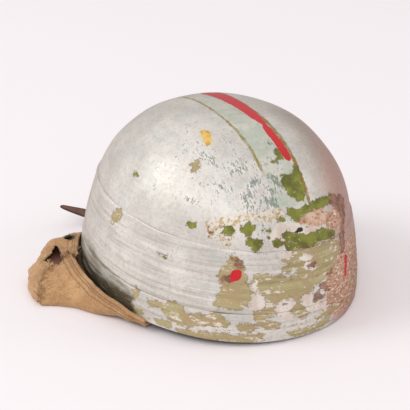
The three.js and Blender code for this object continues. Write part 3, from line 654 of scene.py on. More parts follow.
# Curtain rows, one for each section: degrees round the rim, then shares of the reach, the rise and
# the hem's gap, how round the face is, how far its foot is carried round, and how far it is lifted.
ROW_KEYS = ("at", "reach", "rise", "gap", "puff", "foot", "lift")
RIGHT_EAR_ROWS = [
    (206.5, 0.04, 0.36, 0.12, 0.2, 0, 0.19),
    (202, 0.05, 0.44, 0.2, 0.1, 0, 0.19),
    (198, 0.09, 0.54, 0.34, 0.1, 0, 0.15),
    (193, 0.14, 0.64, 0.45, 0.1, 0, 0.13),
    (188, 0.21, 0.72, 0.52, 0.1, 0, 0.08),
    (183, 0.31, 0.77, 0.58, 0.1, 0, 0.03),
    (178, 0.44, 0.83, 0.65, 0.1, 0.1, 0),
    (173, 0.6, 0.88, 0.7, 0.15, 0.25, 0),
    (168, 0.76, 0.93, 0.75, 0.2, 0.5, 0),
    (163, 0.89, 0.98, 0.85, 0.3, 0.8, 0),
    (159, 0.97, 1, 1.3, 0.42, 1, 0),
]
RIGHT_NAPE_ROWS = [
    (159.6, 0.98, 0.97, 0.3, 0.6, 1, 0),
    (155, 1.05, 0.98, 0.2, 0.78, 0.8, 0),
    (151, 1.01, 1, 0.15, 0.88, 0.5, 0),
    (147, 0.87, 1.04, 0.12, 0.95, 0.2, 0),
    (143.5, 0.75, 1.04, 0.12, 0.97, 0, 0),
    (140, 0.68, 0.88, 0.12, 0.92, 0, 0),
    (137, 0.62, 0.6, 0.15, 0.8, 0, 0),
    (134, 0.56, 0.4, 0.2, 0.6, 0, 0),
]
BACK_NAPE_ROWS = [
    (127, 0.14, 0.36, 0.2, 0.3, 0, 0),
    (115, 0.14, 0.4, 0.3, 0.3, 0, 0),
    (102, 0.15, 0.4, 0.3, 0.3, 0, 0),
    (90, 0.16, 0.4, 0.3, 0.3, 0, 0),
    (78, 0.16, 0.4, 0.3, 0.3, 0, 0),
    (66, 0.16, 0.4, 0.3, 0.3, 0, 0),
    (54, 0.16, 0.36, 0.2, 0.3, 0, 0),
]
LEFT_EAR_ROWS = [
    (49, 0.64, 0.5, 0.3, 0.5, 0, 0),
    (40, 0.64, 0.56, 0.3, 0.5, 0, 0),
    (30, 0.62, 0.6, 0.3, 0.5, 0, 0),
    (20, 0.58, 0.6, 0.3, 0.4, 0, 0),
    (10, 0.48, 0.56, 0.3, 0.3, 0, 0),
    (2, 0.3, 0.48, 0.25, 0.2, 0, 0),
    (-6, 0.16, 0.36, 0.2, 0.2, 0, 0),
    (-12, 0.1, 0.24, 0.15, 0.2, 0, 0),
]
# The tear's outline in millimetres round its middle, seen from above and turned by 30 degrees
TEAR_OUTLINE = [
    (-14, 3), (-10, 6), (-5, 6), (-2, 12), (3, 10), (5, 3), (11, 1), (10, -6), (10, -13), (4, -18),
    (-3, -15), (-8, -9), (-12, -3),
]
TEAR_TURN = math.radians(30)


def row_between(rows, spot):
    """The values of a section between two rows, on a smooth line through the rows."""
    table = np.array(rows, float)
    last = len(rows) - 1
    i = int(min(max(math.floor(spot), 0), last - 1))
    t = spot - i
    a = table[max(i - 1, 0)]
    b = table[i]
    c = table[i + 1]
    d = table[min(i + 2, last)]
    mixed = 0.5 * (2 * b + (c - a) * t + (2 * a - 5 * b + 4 * c - d) * t * t + (3 * b - a - 3 * c + d) * t**3)
    mixed[1:] = np.maximum(mixed[1:], 0)
    return dict(zip(ROW_KEYS, mixed))


def face_curve(row):
    floor = row["lift"] * RISE
    fold = min(FOLD_RADIUS, 0.45 * (row["rise"] * RISE - floor))
    top = np.array([row["gap"] * HEM_GAP + CANVAS_THICK, row["rise"] * RISE])
    low = np.array([max(row["reach"] * REACH, top[0]), floor + fold])
    shoulder = np.array([low[0], low[1] + 0.55 * (top[1] - low[1])])
    crest = np.array([top[0] + 0.45 * (low[0] - top[0]), top[1]])
    first = low + (top - low) / 3
    second = low + (top - low) * 2 / 3
    first = first + (shoulder - first) * row["puff"]
    second = second + (crest - second) * row["puff"]
    return low, first, second, top, fold, floor


def face_points(row, shares):
    low, first, second, top, _, _ = face_curve(row)
    t = np.asarray(shares, float)[:, None]
    spots = low * (1 - t) ** 3 + 3 * first * t * (1 - t) ** 2 + 3 * second * t * t * (1 - t) + top * t**3
    angle = np.radians(row["at"] + row["foot"] * FOOT_LEAN_DEG * (1 - t[:, 0]) ** 2)
    return beyond_rim(angle, spots[:, 0], spots[:, 1])


def nape_spot(at, share):
    """A place on the right nape panel before it is creased, and the way into the cloth there."""
    rows = [row_between(RIGHT_NAPE_ROWS, spot) for spot in (at, at + 1, at - 1)]
    point, ahead, behind = (face_points(row, [share])[0] for row in rows)
    up = np.subtract(*face_points(rows[0], [share + 0.04, share - 0.04]))
    into = np.cross(ahead - behind, up)
    return point, into / np.linalg.norm(into)


TEAR_SPOT, TEAR_INTO = nape_spot(1, 0.68)
EYELET_SPOT, EYELET_INTO = nape_spot(3, 0.84)

SEWN_STEPS = 4
CORNER_STEPS = 4
FLOOR_STEPS = 12
FOLD_STEPS = 7
FACE_STEPS = 84


def section_points(row):
    foot = row["at"] + row["foot"] * FOOT_LEAN_DEG
    inner = INNER_INSET + SEWN_CLEARANCE + CANVAS_THICK
    low, _, _, _, fold, floor = face_curve(row)
    sewn = SEWN_DEPTH * (1 - np.arange(SEWN_STEPS) / SEWN_STEPS / 1.6)
    points = list(placed(np.radians([foot] * SEWN_STEPS), sewn, inner))
    for turn in np.linspace(0, math.pi / 2, CORNER_STEPS + 1):
        away = -inner + CORNER_RADIUS * (1 - math.cos(turn))
        points.append(rim_spot(foot, away, floor + CORNER_RADIUS * (1 - math.sin(turn))))
    start = -inner + CORNER_RADIUS
    for i in range(1, FLOOR_STEPS):
        points.append(rim_spot(foot, start + (low[0] - fold - start) * i / FLOOR_STEPS, floor))
    for turn in np.arange(FOLD_STEPS) * math.pi / 2 / FOLD_STEPS:
        away = low[0] - fold + fold * math.sin(turn)
        points.append(rim_spot(foot, away, floor + fold * (1 - math.cos(turn))))
    shares = np.arange(FACE_STEPS + 1) / FACE_STEPS
    return np.concatenate([np.array(points), face_points(row, shares)])


FACE_START = SEWN_STEPS + CORNER_STEPS + 1 + FLOOR_STEPS - 1 + FOLD_STEPS


class Panel:
    """One panel of the curtain as a grid of points, with lengths along and up the cloth."""

    def __init__(self, rows, step=1.5):
        coarse = [section_points(row_between(rows, i)) for i in range(len(rows))]
        girth = sum(np.linalg.norm(b[FACE_START] - a[FACE_START]) for a, b in zip(coarse, coarse[1:]))
        reach = sum(np.linalg.norm(b[-1] - a[-1]) for a, b in zip(coarse, coarse[1:]))
        count = int(max(girth, reach) / step)
        self.spots = np.linspace(0, len(rows) - 1, count + 1)
        self.grid = np.array([section_points(row_between(rows, spot)) for spot in self.spots])
        self.rows = rows
        self.measure()

    def measure(self):
        ups = np.linalg.norm(np.diff(self.grid, axis=1), axis=2)
        self.up = np.concatenate([np.zeros((len(self.grid), 1)), np.cumsum(ups, 1)], 1)
        self.down = self.up[:, -1:] - self.up
        alongs = np.linalg.norm(np.diff(self.grid, axis=0), axis=2)
        self.along = np.concatenate([np.zeros((1, self.grid.shape[1])), np.cumsum(alongs, 0)], 0)
        self.rest = self.along[-1:] - self.along
        along = np.gradient(self.grid, axis=0)
        up = np.gradient(self.grid, axis=1)
        normal = np.cross(up, along)
        self.normal = normal / np.maximum(np.linalg.norm(normal, axis=2, keepdims=True), 1e-9)

    def push(self, amount):
        self.grid = self.grid + self.normal * amount[..., None]

    def face_share(self):
        columns = np.arange(self.grid.shape[1])
        return np.clip((columns - FACE_START) / FACE_STEPS, 0, 1)[None, :]


# Keeps the part of a sheet where the field is above zero, cut cleanly along its zero line
def cut_sheet(points, values, faces, field):
    points = [tuple(p) for p in points]
    values = {key: list(numbers) for key, numbers in values.items()}
    made = {}
    kept = []

    def crossing(a, b):
        key = (min(a, b), max(a, b))
        if key not in made:
            t = field[a] / (field[a] - field[b])
            made[key] = len(points)
            points.append(tuple(pa + (pb - pa) * t for pa, pb in zip(points[a], points[b])))
            for numbers in values.values():
                numbers.append(numbers[a] + (numbers[b] - numbers[a]) * t)
        return made[key]

    for face in faces:
        signs = [field[i] > 0 for i in face]
        if all(signs):
            kept.append(face)
            continue
        if not any(signs):
            continue
        outline = []
        for i, a in enumerate(face):
            b = face[(i + 1) % len(face)]
            if field[a] > 0:
                outline.append(a)
            if (field[a] > 0) != (field[b] > 0):
                outline.append(crossing(a, b))
        if len(outline) >= 3:
            kept.append(tuple(outline))
    used = sorted({i for face in kept for i in face})
    renumber = {old: new for new, old in enumerate(used)}
    kept = [tuple(renumber[i] for i in face) for face in kept]
    return np.array([points[i] for i in used]), {k: [v[i] for i in used] for k, v in values.items()}, kept


def sheet_piece(name, grid, values, field, thick, offset, bevel):
    rows, columns = grid.shape[:2]
    faces = []
    for r in range(rows - 1):
        for c in range(columns - 1):
            i = r * columns + c
            faces.append((i, i + 1, i + columns + 1, i + columns))
    points = grid.reshape(-1, 3)
    values = {key: numbers.ravel() for key, numbers in values.items()}
    if field is not None:
        points, values, faces = cut_sheet(points, values, faces, field.ravel())
    flat_u = np.array(values["cloth_u"]) / 1000
    flat_v = np.array(values["cloth_v"]) / 1000
    uv = [(flat_u[i], flat_v[i]) for face in faces for i in face]
    thing = piece_from(name, points, faces, uv, values)
    solid = thing.modifiers.new("thickness", "SOLIDIFY")
    solid.thickness = thick / 1000
    solid.offset = offset
    if bevel:
        rounding = thing.modifiers.new("rounding", "BEVEL")
        rounding.width = bevel / 1000
        rounding.segments = 2
        rounding.limit_method = "ANGLE"
        rounding.angle_limit = math.radians(50)
    settled(thing)
    thing.data.set_sharp_from_angle(angle=math.radians(55))
    return thing


def near(value, middle, width):
    return np.exp(-(((value - middle) / width) ** 2))


def past_fold(panel):
    """Nothing under the shell and in the fold, and all of it on the face of the cloth."""
    return np.clip((panel.up - FOLD_LENGTH) / FOLD_FADE, 0, 1)


def hemmed(panel, wide):
    """Raises the folded hem along the free edge, with a dip at each row of stitches."""
    step = 1 / (1 + np.exp((panel.down - wide) / 0.45))
    dips = near(panel.down, 2.2, 0.8) + near(panel.down, wide - 1.3, 0.8)
    ripple = 0.5 + 0.5 * np.sin(panel.along * 2 * math.pi / 3.4)
    slow = 0.3 * np.sin(panel.along * 2 * math.pi / 19 + 1.3 * np.sin(panel.along / 11))
    return (0.75 + slow) * step - dips * (0.3 + 0.25 * ripple)


def creased(panel, seed):
    slow = waves(panel.grid, seed, 34) * 0.6 + waves(panel.grid * (1, 1, 1.8), seed + 1, 14) * 0.3
    sharp = 1 - np.abs(waves(panel.grid, seed + 2, 26))
    held = 1 / (1 + np.exp(-(panel.up - 22) / 3))
    return (slow + 0.35 * np.maximum(sharp - 0.5, 0)) * held


def gathered(from_edge, along_edge, lip):
    """Puckers that run in from a seam, and the thick, uneven lip at its edge."""
    pucker = np.sin(along_edge * 2 * math.pi / 7.1 + 1.6 * np.sin(along_edge / 5.1))
    fine = np.sin(along_edge * 2 * math.pi / 4.1 + 2 * np.sin(along_edge / 7.3))
    rows_in = np.exp(-from_edge / 9) * pucker * 1.5 + np.exp(-from_edge / 3.6) * fine * 0.9
    bead = lip * np.exp(-((from_edge - 1.8) ** 2) / 5)
    return rows_in + bead


def jogged(panel, from_edge, sideways):
    """Makes the line of a seam's edge uneven, as it was pulled in by its thread."""
    jog = 1.3 * np.sin(panel.up * 2 * math.pi / 11.3) + 0.8 * np.sin(panel.up * 2 * math.pi / 4.7 + 1)
    along = np.gradient(panel.grid, axis=0)
    along /= np.maximum(np.linalg.norm(along, axis=2, keepdims=True), 1e-9)
    held = past_fold(panel) * np.exp(-from_edge / 5)
    panel.grid = panel.grid + along * (jog * held * sideways)[..., None]
    panel.measure()


def hem_curl(panel):
    """Turns the free edge under and carries it back inside, as a folded hem."""
    last = panel.grid[:, -1]
    up = last - panel.grid[:, -3]
    up /= np.linalg.norm(up, axis=1)[:, None]
    out = panel.normal[:, -1]
    extra = []
    for turn in np.radians((40, 80, 120, 150, 180)):
        extra.append(last + up * HEM_RADIUS * math.sin(turn) - out * HEM_RADIUS * (1 - math.cos(turn)))
    for back in (1.5, 3.5, 5.5):
        extra.append(last - up * back - out * 2 * HEM_RADIUS)
    panel.grid = np.concatenate([panel.grid, np.stack(extra, 1)], 1)
    panel.measure()


def on_table(panel, lowest=0.12):
    """Keeps the cloth from going into the table."""
    panel.grid[..., 2] = np.maximum(panel.grid[..., 2], lowest)


def right_ear_cloth():
    panel = Panel(RIGHT_EAR_ROWS, 0.9)
    jogged(panel, panel.rest, 1)
    face = panel.face_share()
    push = creased(panel, 21)
    push += hemmed(panel, HEM_WIDTH) * np.clip(face * 6, 0, 1)
    seam = gathered(panel.rest, panel.up, 1.9)
    push += seam * past_fold(panel)
    # long low creases that run with the hem
    for middle, depth in ((0.72, 0.5), (0.5, -0.4), (0.3, 0.4)):
        push += depth * near(face + 0.05 * np.sin(panel.along / 17), middle, 0.045)
    panel.push(push)
    on_table(panel)
    panel.measure()
    tear = tear_field(panel)
    # soil along the hem and the seam, and painted shade at the fold's foot and in the stitch grooves
    dirt_and_shade = 0.25 * near(panel.down, 0, 5) + 0.2 * np.exp(-panel.rest / 3) + 0.3 * near(face, 0, 0.12)
    for down, much in zip(HEM_STITCHES, (0.9, 0.7, 0.8)):
        dirt_and_shade += much * near(panel.down, down, 0.7)
    fray = np.maximum(np.exp(-panel.rest / 2.4), np.exp(-np.abs(tear) / 1.8))
    return with_hem(panel, dirt_and_shade, fray, tear)


def tear_field(panel):
    """Distance from the tear's ragged edge in millimetres, above zero on the cloth that is left."""
    flat = turned(panel.grid - TEAR_SPOT, (0, 0, 1), TEAR_TURN)
    inside = depth_inside(TEAR_OUTLINE, flat[..., 0], flat[..., 1])
    ragged = 0.35 * waves(panel.grid, 91, 4.5) + 0.25 * waves(panel.grid, 92, 2.2)
    beside = np.where(panel.face_share() > 0.05, 0, WELL_INSIDE)
    return -inside + ragged + beside


def with_hem(panel, dirt_and_shade, fray, field):
    """Adds the hem's turned edge to a panel and carries its values on over it."""
    columns = panel.grid.shape[1]
    hem_curl(panel)
    extra = panel.grid.shape[1] - columns

    def carried(numbers):
        return np.concatenate([numbers, np.repeat(numbers[:, -1:], extra, 1)], 1)

    return panel, carried(dirt_and_shade), carried(fray), None if field is None else carried(field)


def right_nape_cloth():
    panel = Panel(RIGHT_NAPE_ROWS, 1.0)
    jogged(panel, panel.along, 0.6)
    face = panel.face_share()
    to_eyelet = np.linalg.norm(panel.grid - EYELET_SPOT, axis=2)
    calm = 1 - np.exp(-((to_eyelet / 10) ** 4))
    push = creased(panel, 37) * 1.2
    push += hemmed(panel, HEM_WIDTH) * np.clip(face * 6, 0, 1)
    seam = gathered(panel.along, panel.up + 3, 0.5)
    tucked = 2.2 * np.exp(-((panel.along / 2.6) ** 2))
    push += (seam - tucked) * past_fold(panel)
    # folds that fan out from the tear, and one that runs down the roll's end
    flat = panel.grid - TEAR_SPOT
    bearing = np.arctan2(flat[..., 2] + 0.3 * flat[..., 1], -flat[..., 0])
    far = np.linalg.norm(flat, axis=2)
    fan = np.sin(bearing * 8 + 1.1) * np.exp(-far / 18) * 1.1
    push += fan * (1 - np.exp(-far / 5))
    push -= 1.3 * near(panel.along + 0.06 * panel.up, 0.74 * panel.along[-1], 2.2) * np.clip(face * 3, 0, 1)
    lip = near(tear_field(panel), 1.0, 1.6) * 0.9
    round_tear = turned(flat, (0, 0, 1), TEAR_TURN)
    lobe = 5 * near(round_tear[..., 1], 20, 8) * near(round_tear[..., 0], -3, 11)
    valley = 5 * near(round_tear[..., 1], 6, 4.5) * np.clip((-round_tear[..., 0] - 6) / 7, 0, 1)
    on_face = np.clip(face * 5, 0, 1)
    panel.push((push + lip) * calm + (lobe - valley) * on_face)
    on_table(panel)
    tear = tear_field(panel)
    round_eyelet = panel.grid - EYELET_SPOT
    hole = np.linalg.norm(np.cross(round_eyelet, EYELET_INTO), axis=2) - EYELET_HOLE_RADIUS - 0.6
    deep = np.abs(round_eyelet @ EYELET_INTO)
    field = np.minimum(tear, np.where(deep < 5, hole, WELL_INSIDE))
    panel.measure()
    # soil along the hem and the seam, darker round the tear's edge, and painted shade round the eyelet and
    # along the hem's inner edge
    dirt_and_shade = 0.25 * near(panel.down, 0, 5) + 0.2 * np.exp(-panel.along / 5) + 0.4 * near(tear, 0.8, 2.2)
    dirt_and_shade += 0.35 * near(to_eyelet, EYELET_RADIUS + 0.8, 1.2)
    dirt_and_shade += 0.4 * near(panel.down, HEM_WIDTH + 0.4, 0.9)
    fray = np.maximum(np.exp(-np.maximum(tear, 0) / 1.8), np.exp(-panel.along / 2))
    return with_hem(panel, dirt_and_shade, fray, field)


def plain_cloth(rows, seed):
    panel = Panel(rows, 2.2)
    push = creased(panel, seed) * 0.6
    push += hemmed(panel, 6) * np.clip(panel.face_share() * 6, 0, 1) * 0.8
    panel.push(push)
    on_table(panel)
    panel.measure()
    # soil along the hem, and painted shade at the fold's foot
    dirt_and_shade = 0.35 * near(panel.down, 0, 4) + 0.3 * near(panel.face_share(), 0, 0.15)
    fray = np.exp(-panel.along / 1.5) + np.exp(-panel.rest / 1.5)
    return with_hem(panel, dirt_and_shade, fray, None)


def cloth_piece(name, made):
    panel, dirt_and_shade, fray, field = made
    values = {
        "cloth_u": panel.along,
        "cloth_v": panel.up,
        "dirt_and_shade": np.clip(dirt_and_shade, 0, 1),
        "fray": np.clip(fray, 0, 1),
    }
    return sheet_piece(name, panel.grid, values, field, CLOTH_THICK, -1, 0)


# Chin strap

def smooth_line(points, count):
    """A centripetal Catmull-Rom line through the points."""
    points = np.asarray(points, float)
    ends = [2 * points[0] - points[1], *points, 2 * points[-1] - points[-2]]
    line = []
    for i in range(count + 1):
        spot = i / count * (len(points) - 1)
        k = min(int(spot), len(points) - 2)
        t = spot - k
        p0, p1, p2, p3 = (np.array(p) for p in ends[k:k + 4])
        d0 = max(np.linalg.norm(p1 - p0) ** 0.5, 1e-4)
        d1 = max(np.linalg.norm(p2 - p1) ** 0.5, 1e-4)
        d2 = max(np.linalg.norm(p3 - p2) ** 0.5, 1e-4)
        t1 = ((p1 - p0) / d0 - (p2 - p0) / (d0 + d1) + (p2 - p1) / d1) * d1
        t2 = ((p2 - p1) / d1 - (p3 - p1) / (d1 + d2) + (p3 - p2) / d2) * d1
        a = p1
        c = -3 * p1 + 3 * p2 - 2 * t1 - t2
        d = 2 * p1 - 2 * p2 + t1 + t2
        line.append(a + t1 * t + c * t * t + d * t**3)
    return np.array(line)


def evenly(line, step):
    lengths = np.concatenate([[0], np.cumsum(np.linalg.norm(np.diff(line, axis=0), axis=1))])
    count = int(lengths[-1] / step)
    at = np.linspace(0, lengths[-1], count + 1)
    return np.stack([np.interp(at, lengths, line[:, k]) for k in range(3)], 1), at


STRAP_STEP = 0.9
STRAP_REST = STRAP_THICK / 2
CLOTH_REST = CANVAS_THICK + CLEARANCE + STRAP_REST
BAR_HEIGHT = WIRE_RADIUS + CLEARANCE + STRAP_REST + 0.4
EYE_RADIUS = WIRE_RADIUS + CLEARANCE + 1.2
OVER_EYE = BAR_HEIGHT + EYE_RADIUS + CLEARANCE + STRAP_REST
BAR_POINT = rim_spot(BUCKLE_AT_DEG, BUCKLE_AWAY, 0)
HEADING = np.array([
    math.cos(math.radians(FREE_END_HEADING_DEG)), math.sin(math.radians(FREE_END_HEADING_DEG)), 0
])
ACROSS_BAR = np.array([-HEADING[1], HEADING[0], 0])
LONG_STRAP_ROWS = [
    (16, 0.66, CLOTH_REST), (30, 0.62, CLOTH_REST), (43, 0.66, CLOTH_REST), (51, 0.76, CLOTH_REST),
    (60, 0.86, STRAP_REST + 0.2), (69, 0.93, STRAP_REST), (78, 0.98, STRAP_REST), (86, 1, STRAP_REST),
]
CLIMB_ROWS = [(1, 0), (0.7, 0.03), (0.4, 0.52), (0.14, 0.95), (-0.1, 1)]
SHORT_STRAP_ROWS = [
    (150, 0.42, 0.5), (145, 0.38, 0.28), (140, 0.34, 0.08), (135, 0.31, 0), (128, 0.3, 0), (120, 0.3, 0),
    (112, 0.32, 0),
]


def from_bar(along, height):
    spot = BAR_POINT + HEADING * along
    spot[2] = height
    return spot


def long_strap_line():
    points = []
    for at, away, height in LONG_STRAP_ROWS:
        points.append(rim_spot(at, away * BUCKLE_AWAY, height))
    for back, climbed in CLIMB_ROWS:
        points.append(from_bar(-BUCKLE_LENGTH * back, STRAP_REST + (OVER_EYE - STRAP_REST) * climbed))
    for share in (0.25, 0.45, 0.62, 0.75, 0.88, 1):
        raised = max((share - 0.48) / 0.52, 0) ** 1.15
        points.append(from_bar(FREE_END_LENGTH * share, OVER_EYE + FREE_END_RISE * raised))
    return smooth_line(points, 900)


def strap_rows(middle, at, side, width, columns):
    """A strap's grid from its middle line, the ways across it and its widths."""
    across = np.linspace(-0.5, 0.5, columns + 1)
    grid = middle[:, None, :] + side[:, None, :] * (across[None, :, None] * width[:, None, None])
    values = {
        "cloth_u": np.repeat(at[:, None], columns + 1, 1),
        "cloth_v": across[None, :] * width[:, None],
        "from_edge": width[:, None] * (0.5 - np.abs(across[None, :])),
    }
    return grid, values


def long_strap_piece():
    middle, at = evenly(long_strap_line(), STRAP_STEP)
    left = at[-1] - at
    widening = np.minimum(left / STRAP_POINT_LENGTH, 1) ** 0.8
    width = STRAP_POINT_WIDTH + (STRAP_WIDTH - STRAP_POINT_WIDTH) * widening
    width = width * np.sqrt(np.clip(left / 3, 0.12, 1))
    tangent = np.gradient(middle, axis=0)
    tangent /= np.linalg.norm(tangent, axis=1)[:, None]
    side = np.cross(tangent, (0, 0, 1))
    side /= np.linalg.norm(side, axis=1)[:, None]
    twisted = np.clip(1 - left / (0.7 * FREE_END_LENGTH), 0, 1)
    roll = (math.radians(FREE_END_TWIST_DEG) * np.minimum(2 * twisted, 1))[:, None]
    side = side * np.cos(roll) + np.cross(tangent, side) * np.sin(roll)
    grid, values = strap_rows(middle, at, side, width, 18)
    field = np.full(grid.shape[:2], float(WELL_INSIDE))
    for i in range(STRAP_HOLES):
        along = (i - STRAP_HOLES + 1) * STRAP_HOLE_PITCH + FREE_END_LENGTH * 0.4
        spot = from_bar(along, 0)
        flat = grid[..., :2] - spot[:2]
        in_row = grid[..., 2] > STRAP_REST + 0.05 if along > -3 else np.abs(flat[..., 0]) < 40
        away = np.where(in_row, np.linalg.norm(flat, axis=2), WELL_INSIDE)
        field = np.minimum(field, away - STRAP_HOLE_RADIUS)
    return sheet_piece("chin_strap_long", grid, values, field, STRAP_THICK - 0.1, 0, 0.45)


def short_strap_line():
    root = TEAR_SPOT + TEAR_INTO * (CANVAS_THICK + CLEARANCE + STRAP_REST)
    points = [root + step for step in ((-4, -17, -6), (-3, -11, -3), (-1.5, -4, -3), (-0.5, 2, -7))]
    for at, away, lift in SHORT_STRAP_ROWS:
        points.append(rim_spot(at, away * REACH, CLOTH_REST + lift * RISE))
    points.append(from_bar(12, STRAP_REST))
    points.append(from_bar(4, STRAP_REST))
    line = list(smooth_line(points, 500))
    middle_radius = WIRE_RADIUS + CLEARANCE + 0.75
    for turn in np.radians(np.arange(-75, 181, 8)):
        along = -middle_radius * math.cos(turn)
        line.append(from_bar(along, BAR_HEIGHT + middle_radius * math.sin(turn)))
    for along, drop in ((4, 0.5), (7, 0.8), (11, 0.9)):
        line.append(from_bar(along, BAR_HEIGHT + 1.15 - drop))
    return np.array(line)


def short_strap_piece():
    """This strap turns over on itself, so its ways across come from its path seen from above."""
    middle, at = evenly(short_strap_line(), STRAP_STEP)
    level = np.gradient(middle, axis=0)
    level[:, 2] = 0
    side = np.cross(level, (0, 0, 1))
    side /= np.maximum(np.linalg.norm(side, axis=1), 1e-6)[:, None]
    along_bar = ACROSS_BAR * np.sign(side[np.argmax(at > at[-1] - 34)] @ ACROSS_BAR)
    blend = np.clip((at - (at[-1] - 42)) / 10, 0, 1)[:, None]
    side = side * (1 - blend) + along_bar * blend
    side /= np.linalg.norm(side, axis=1)[:, None]
    width = np.where(at > at[-1] - 30, STRAP_WIDTH - 0.6, STRAP_WIDTH)
    grid, values = strap_rows(middle, at, side, width, 14)
    return sheet_piece("chin_strap_short", grid, values, None, 1.5, 0, 0.35)


# Metal pieces

EYELET_ROLL = 0.45
BUCKLE_BEND = 2.6
BEND_STEPS = 7


def buckle_corners():
    half = STRAP_WIDTH / 2 + 3 * WIRE_RADIUS
    far_height = STRAP_THICK + 2 * CLEARANCE + WIRE_RADIUS
    ends = ((0, BAR_HEIGHT, -half), (0, BAR_HEIGHT, half))
    ends += ((-BUCKLE_LENGTH, far_height, half), (-BUCKLE_LENGTH, far_height, -half))
    return [from_bar(along, height) + ACROSS_BAR * sideways for along, height, sideways in ends]


def tube_faces(rows, sides):
    faces = []
    for r in range(rows):
        s = (r + 1) % rows
        for i in range(sides):
            j = (i + 1) % sides
            faces.append((r * sides + i, r * sides + j, s * sides + j, s * sides + i))
    return faces


def ring_piece(name, outline, point, direction, sides):
    """A ring turned from an outline of radius and depth pairs, along a direction."""
    direction = direction / np.linalg.norm(direction)
    helper = np.array([0, 0, 1.0]) if abs(direction[2]) < 0.9 else np.array([1.0, 0, 0])
    first = np.cross(direction, helper)
    first /= np.linalg.norm(first)
    second = np.cross(direction, first)
    points = []
    for radius, depth in outline:
        for i in range(sides):
            turn = 2 * math.pi * i / sides
            out = first * math.cos(turn) + second * math.sin(turn)
            points.append(point + direction * depth + radius * out)
    return piece_from(name, np.array(points), tube_faces(len(outline), sides))


def eyelet_outline():
    """One rolled flange on each side of the cloth, with a plain barrel through it."""
    half = CLOTH_THICK / 2 + 0.12
    run = [(EYELET_HOLE_RADIUS + EYELET_ROLL, half)]
    for turn in np.radians(np.arange(0, 181, 22.5)):
        rolled = EYELET_ROLL * (math.sin(turn) - 1)
        run.append((EYELET_RADIUS + rolled, half + 0.35 * (1 - math.cos(turn))))
    for radius, depth in ((5.35, 0.78), (5, 0.84), (4.6, 0.7), (4.25, 0.4), (4.05, 0)):
        run.append((radius, half + depth))
    return run + [(radius, -depth) for radius, depth in run][::-1]


def wire_loop(name, corners, radius, sides):
    """A closed wire through corners, with each corner rounded."""
    line = []
    count = len(corners)
    for i, corner in enumerate(corners):
        before = corners[i - 1] - corner
        after = corners[(i + 1) % count] - corner
        start = corner + before / np.linalg.norm(before) * BUCKLE_BEND
        end = corner + after / np.linalg.norm(after) * BUCKLE_BEND
        for t in np.linspace(0, 1, BEND_STEPS):
            line.append(start * (1 - t) ** 2 + corner * 2 * t * (1 - t) + end * t * t)
    line = np.array(line)
    tangent = np.roll(line, -1, 0) - np.roll(line, 1, 0)
    tangent /= np.linalg.norm(tangent, axis=1)[:, None]
    normal = np.cross(line[BEND_STEPS] - line[0], line[2 * BEND_STEPS] - line[0])
    normal /= np.linalg.norm(normal)
    side = np.cross(tangent, normal)
    points = []
    for spot, out in zip(line, side):
        for k in range(sides):
            turn = 2 * math.pi * k / sides
            points.append(spot + radius * (out * math.cos(turn) + normal * math.sin(turn)))
    return piece_from(name, np.array(points), tube_faces(len(line), sides))


def outward_faces(thing):
    """Turns a closed piece's faces outwards."""
    mesh = thing.data
    volume = 0.0
    for face in mesh.polygons:
        corners = [mesh.vertices[i].co for i in face.vertices]
        for a, b in zip(corners[1:], corners[2:]):
            volume += corners[0].dot(a.cross(b))
    if volume < 0:
        mesh.flip_normals()


def dressed(thing, slot, node, *materials):
    """Gives a closed piece its materials and hides the CAD node that it replaces. Its slot is not used."""
    outward_faces(thing)
    for material in materials:
        thing.data.materials.append(material)
    finish_piece(thing, slot, node)


# Nodes

def tone(red, green, blue):
    """A colour as it looks, from 0 to 255, as the light that a surface gives back."""
    out = []
    for value in (red, green, blue):
        v = value / 255
        out.append(v / 12.92 if v <= 0.04045 else ((v + 0.055) / 1.055) ** 2.4)
    return (*out, 1)


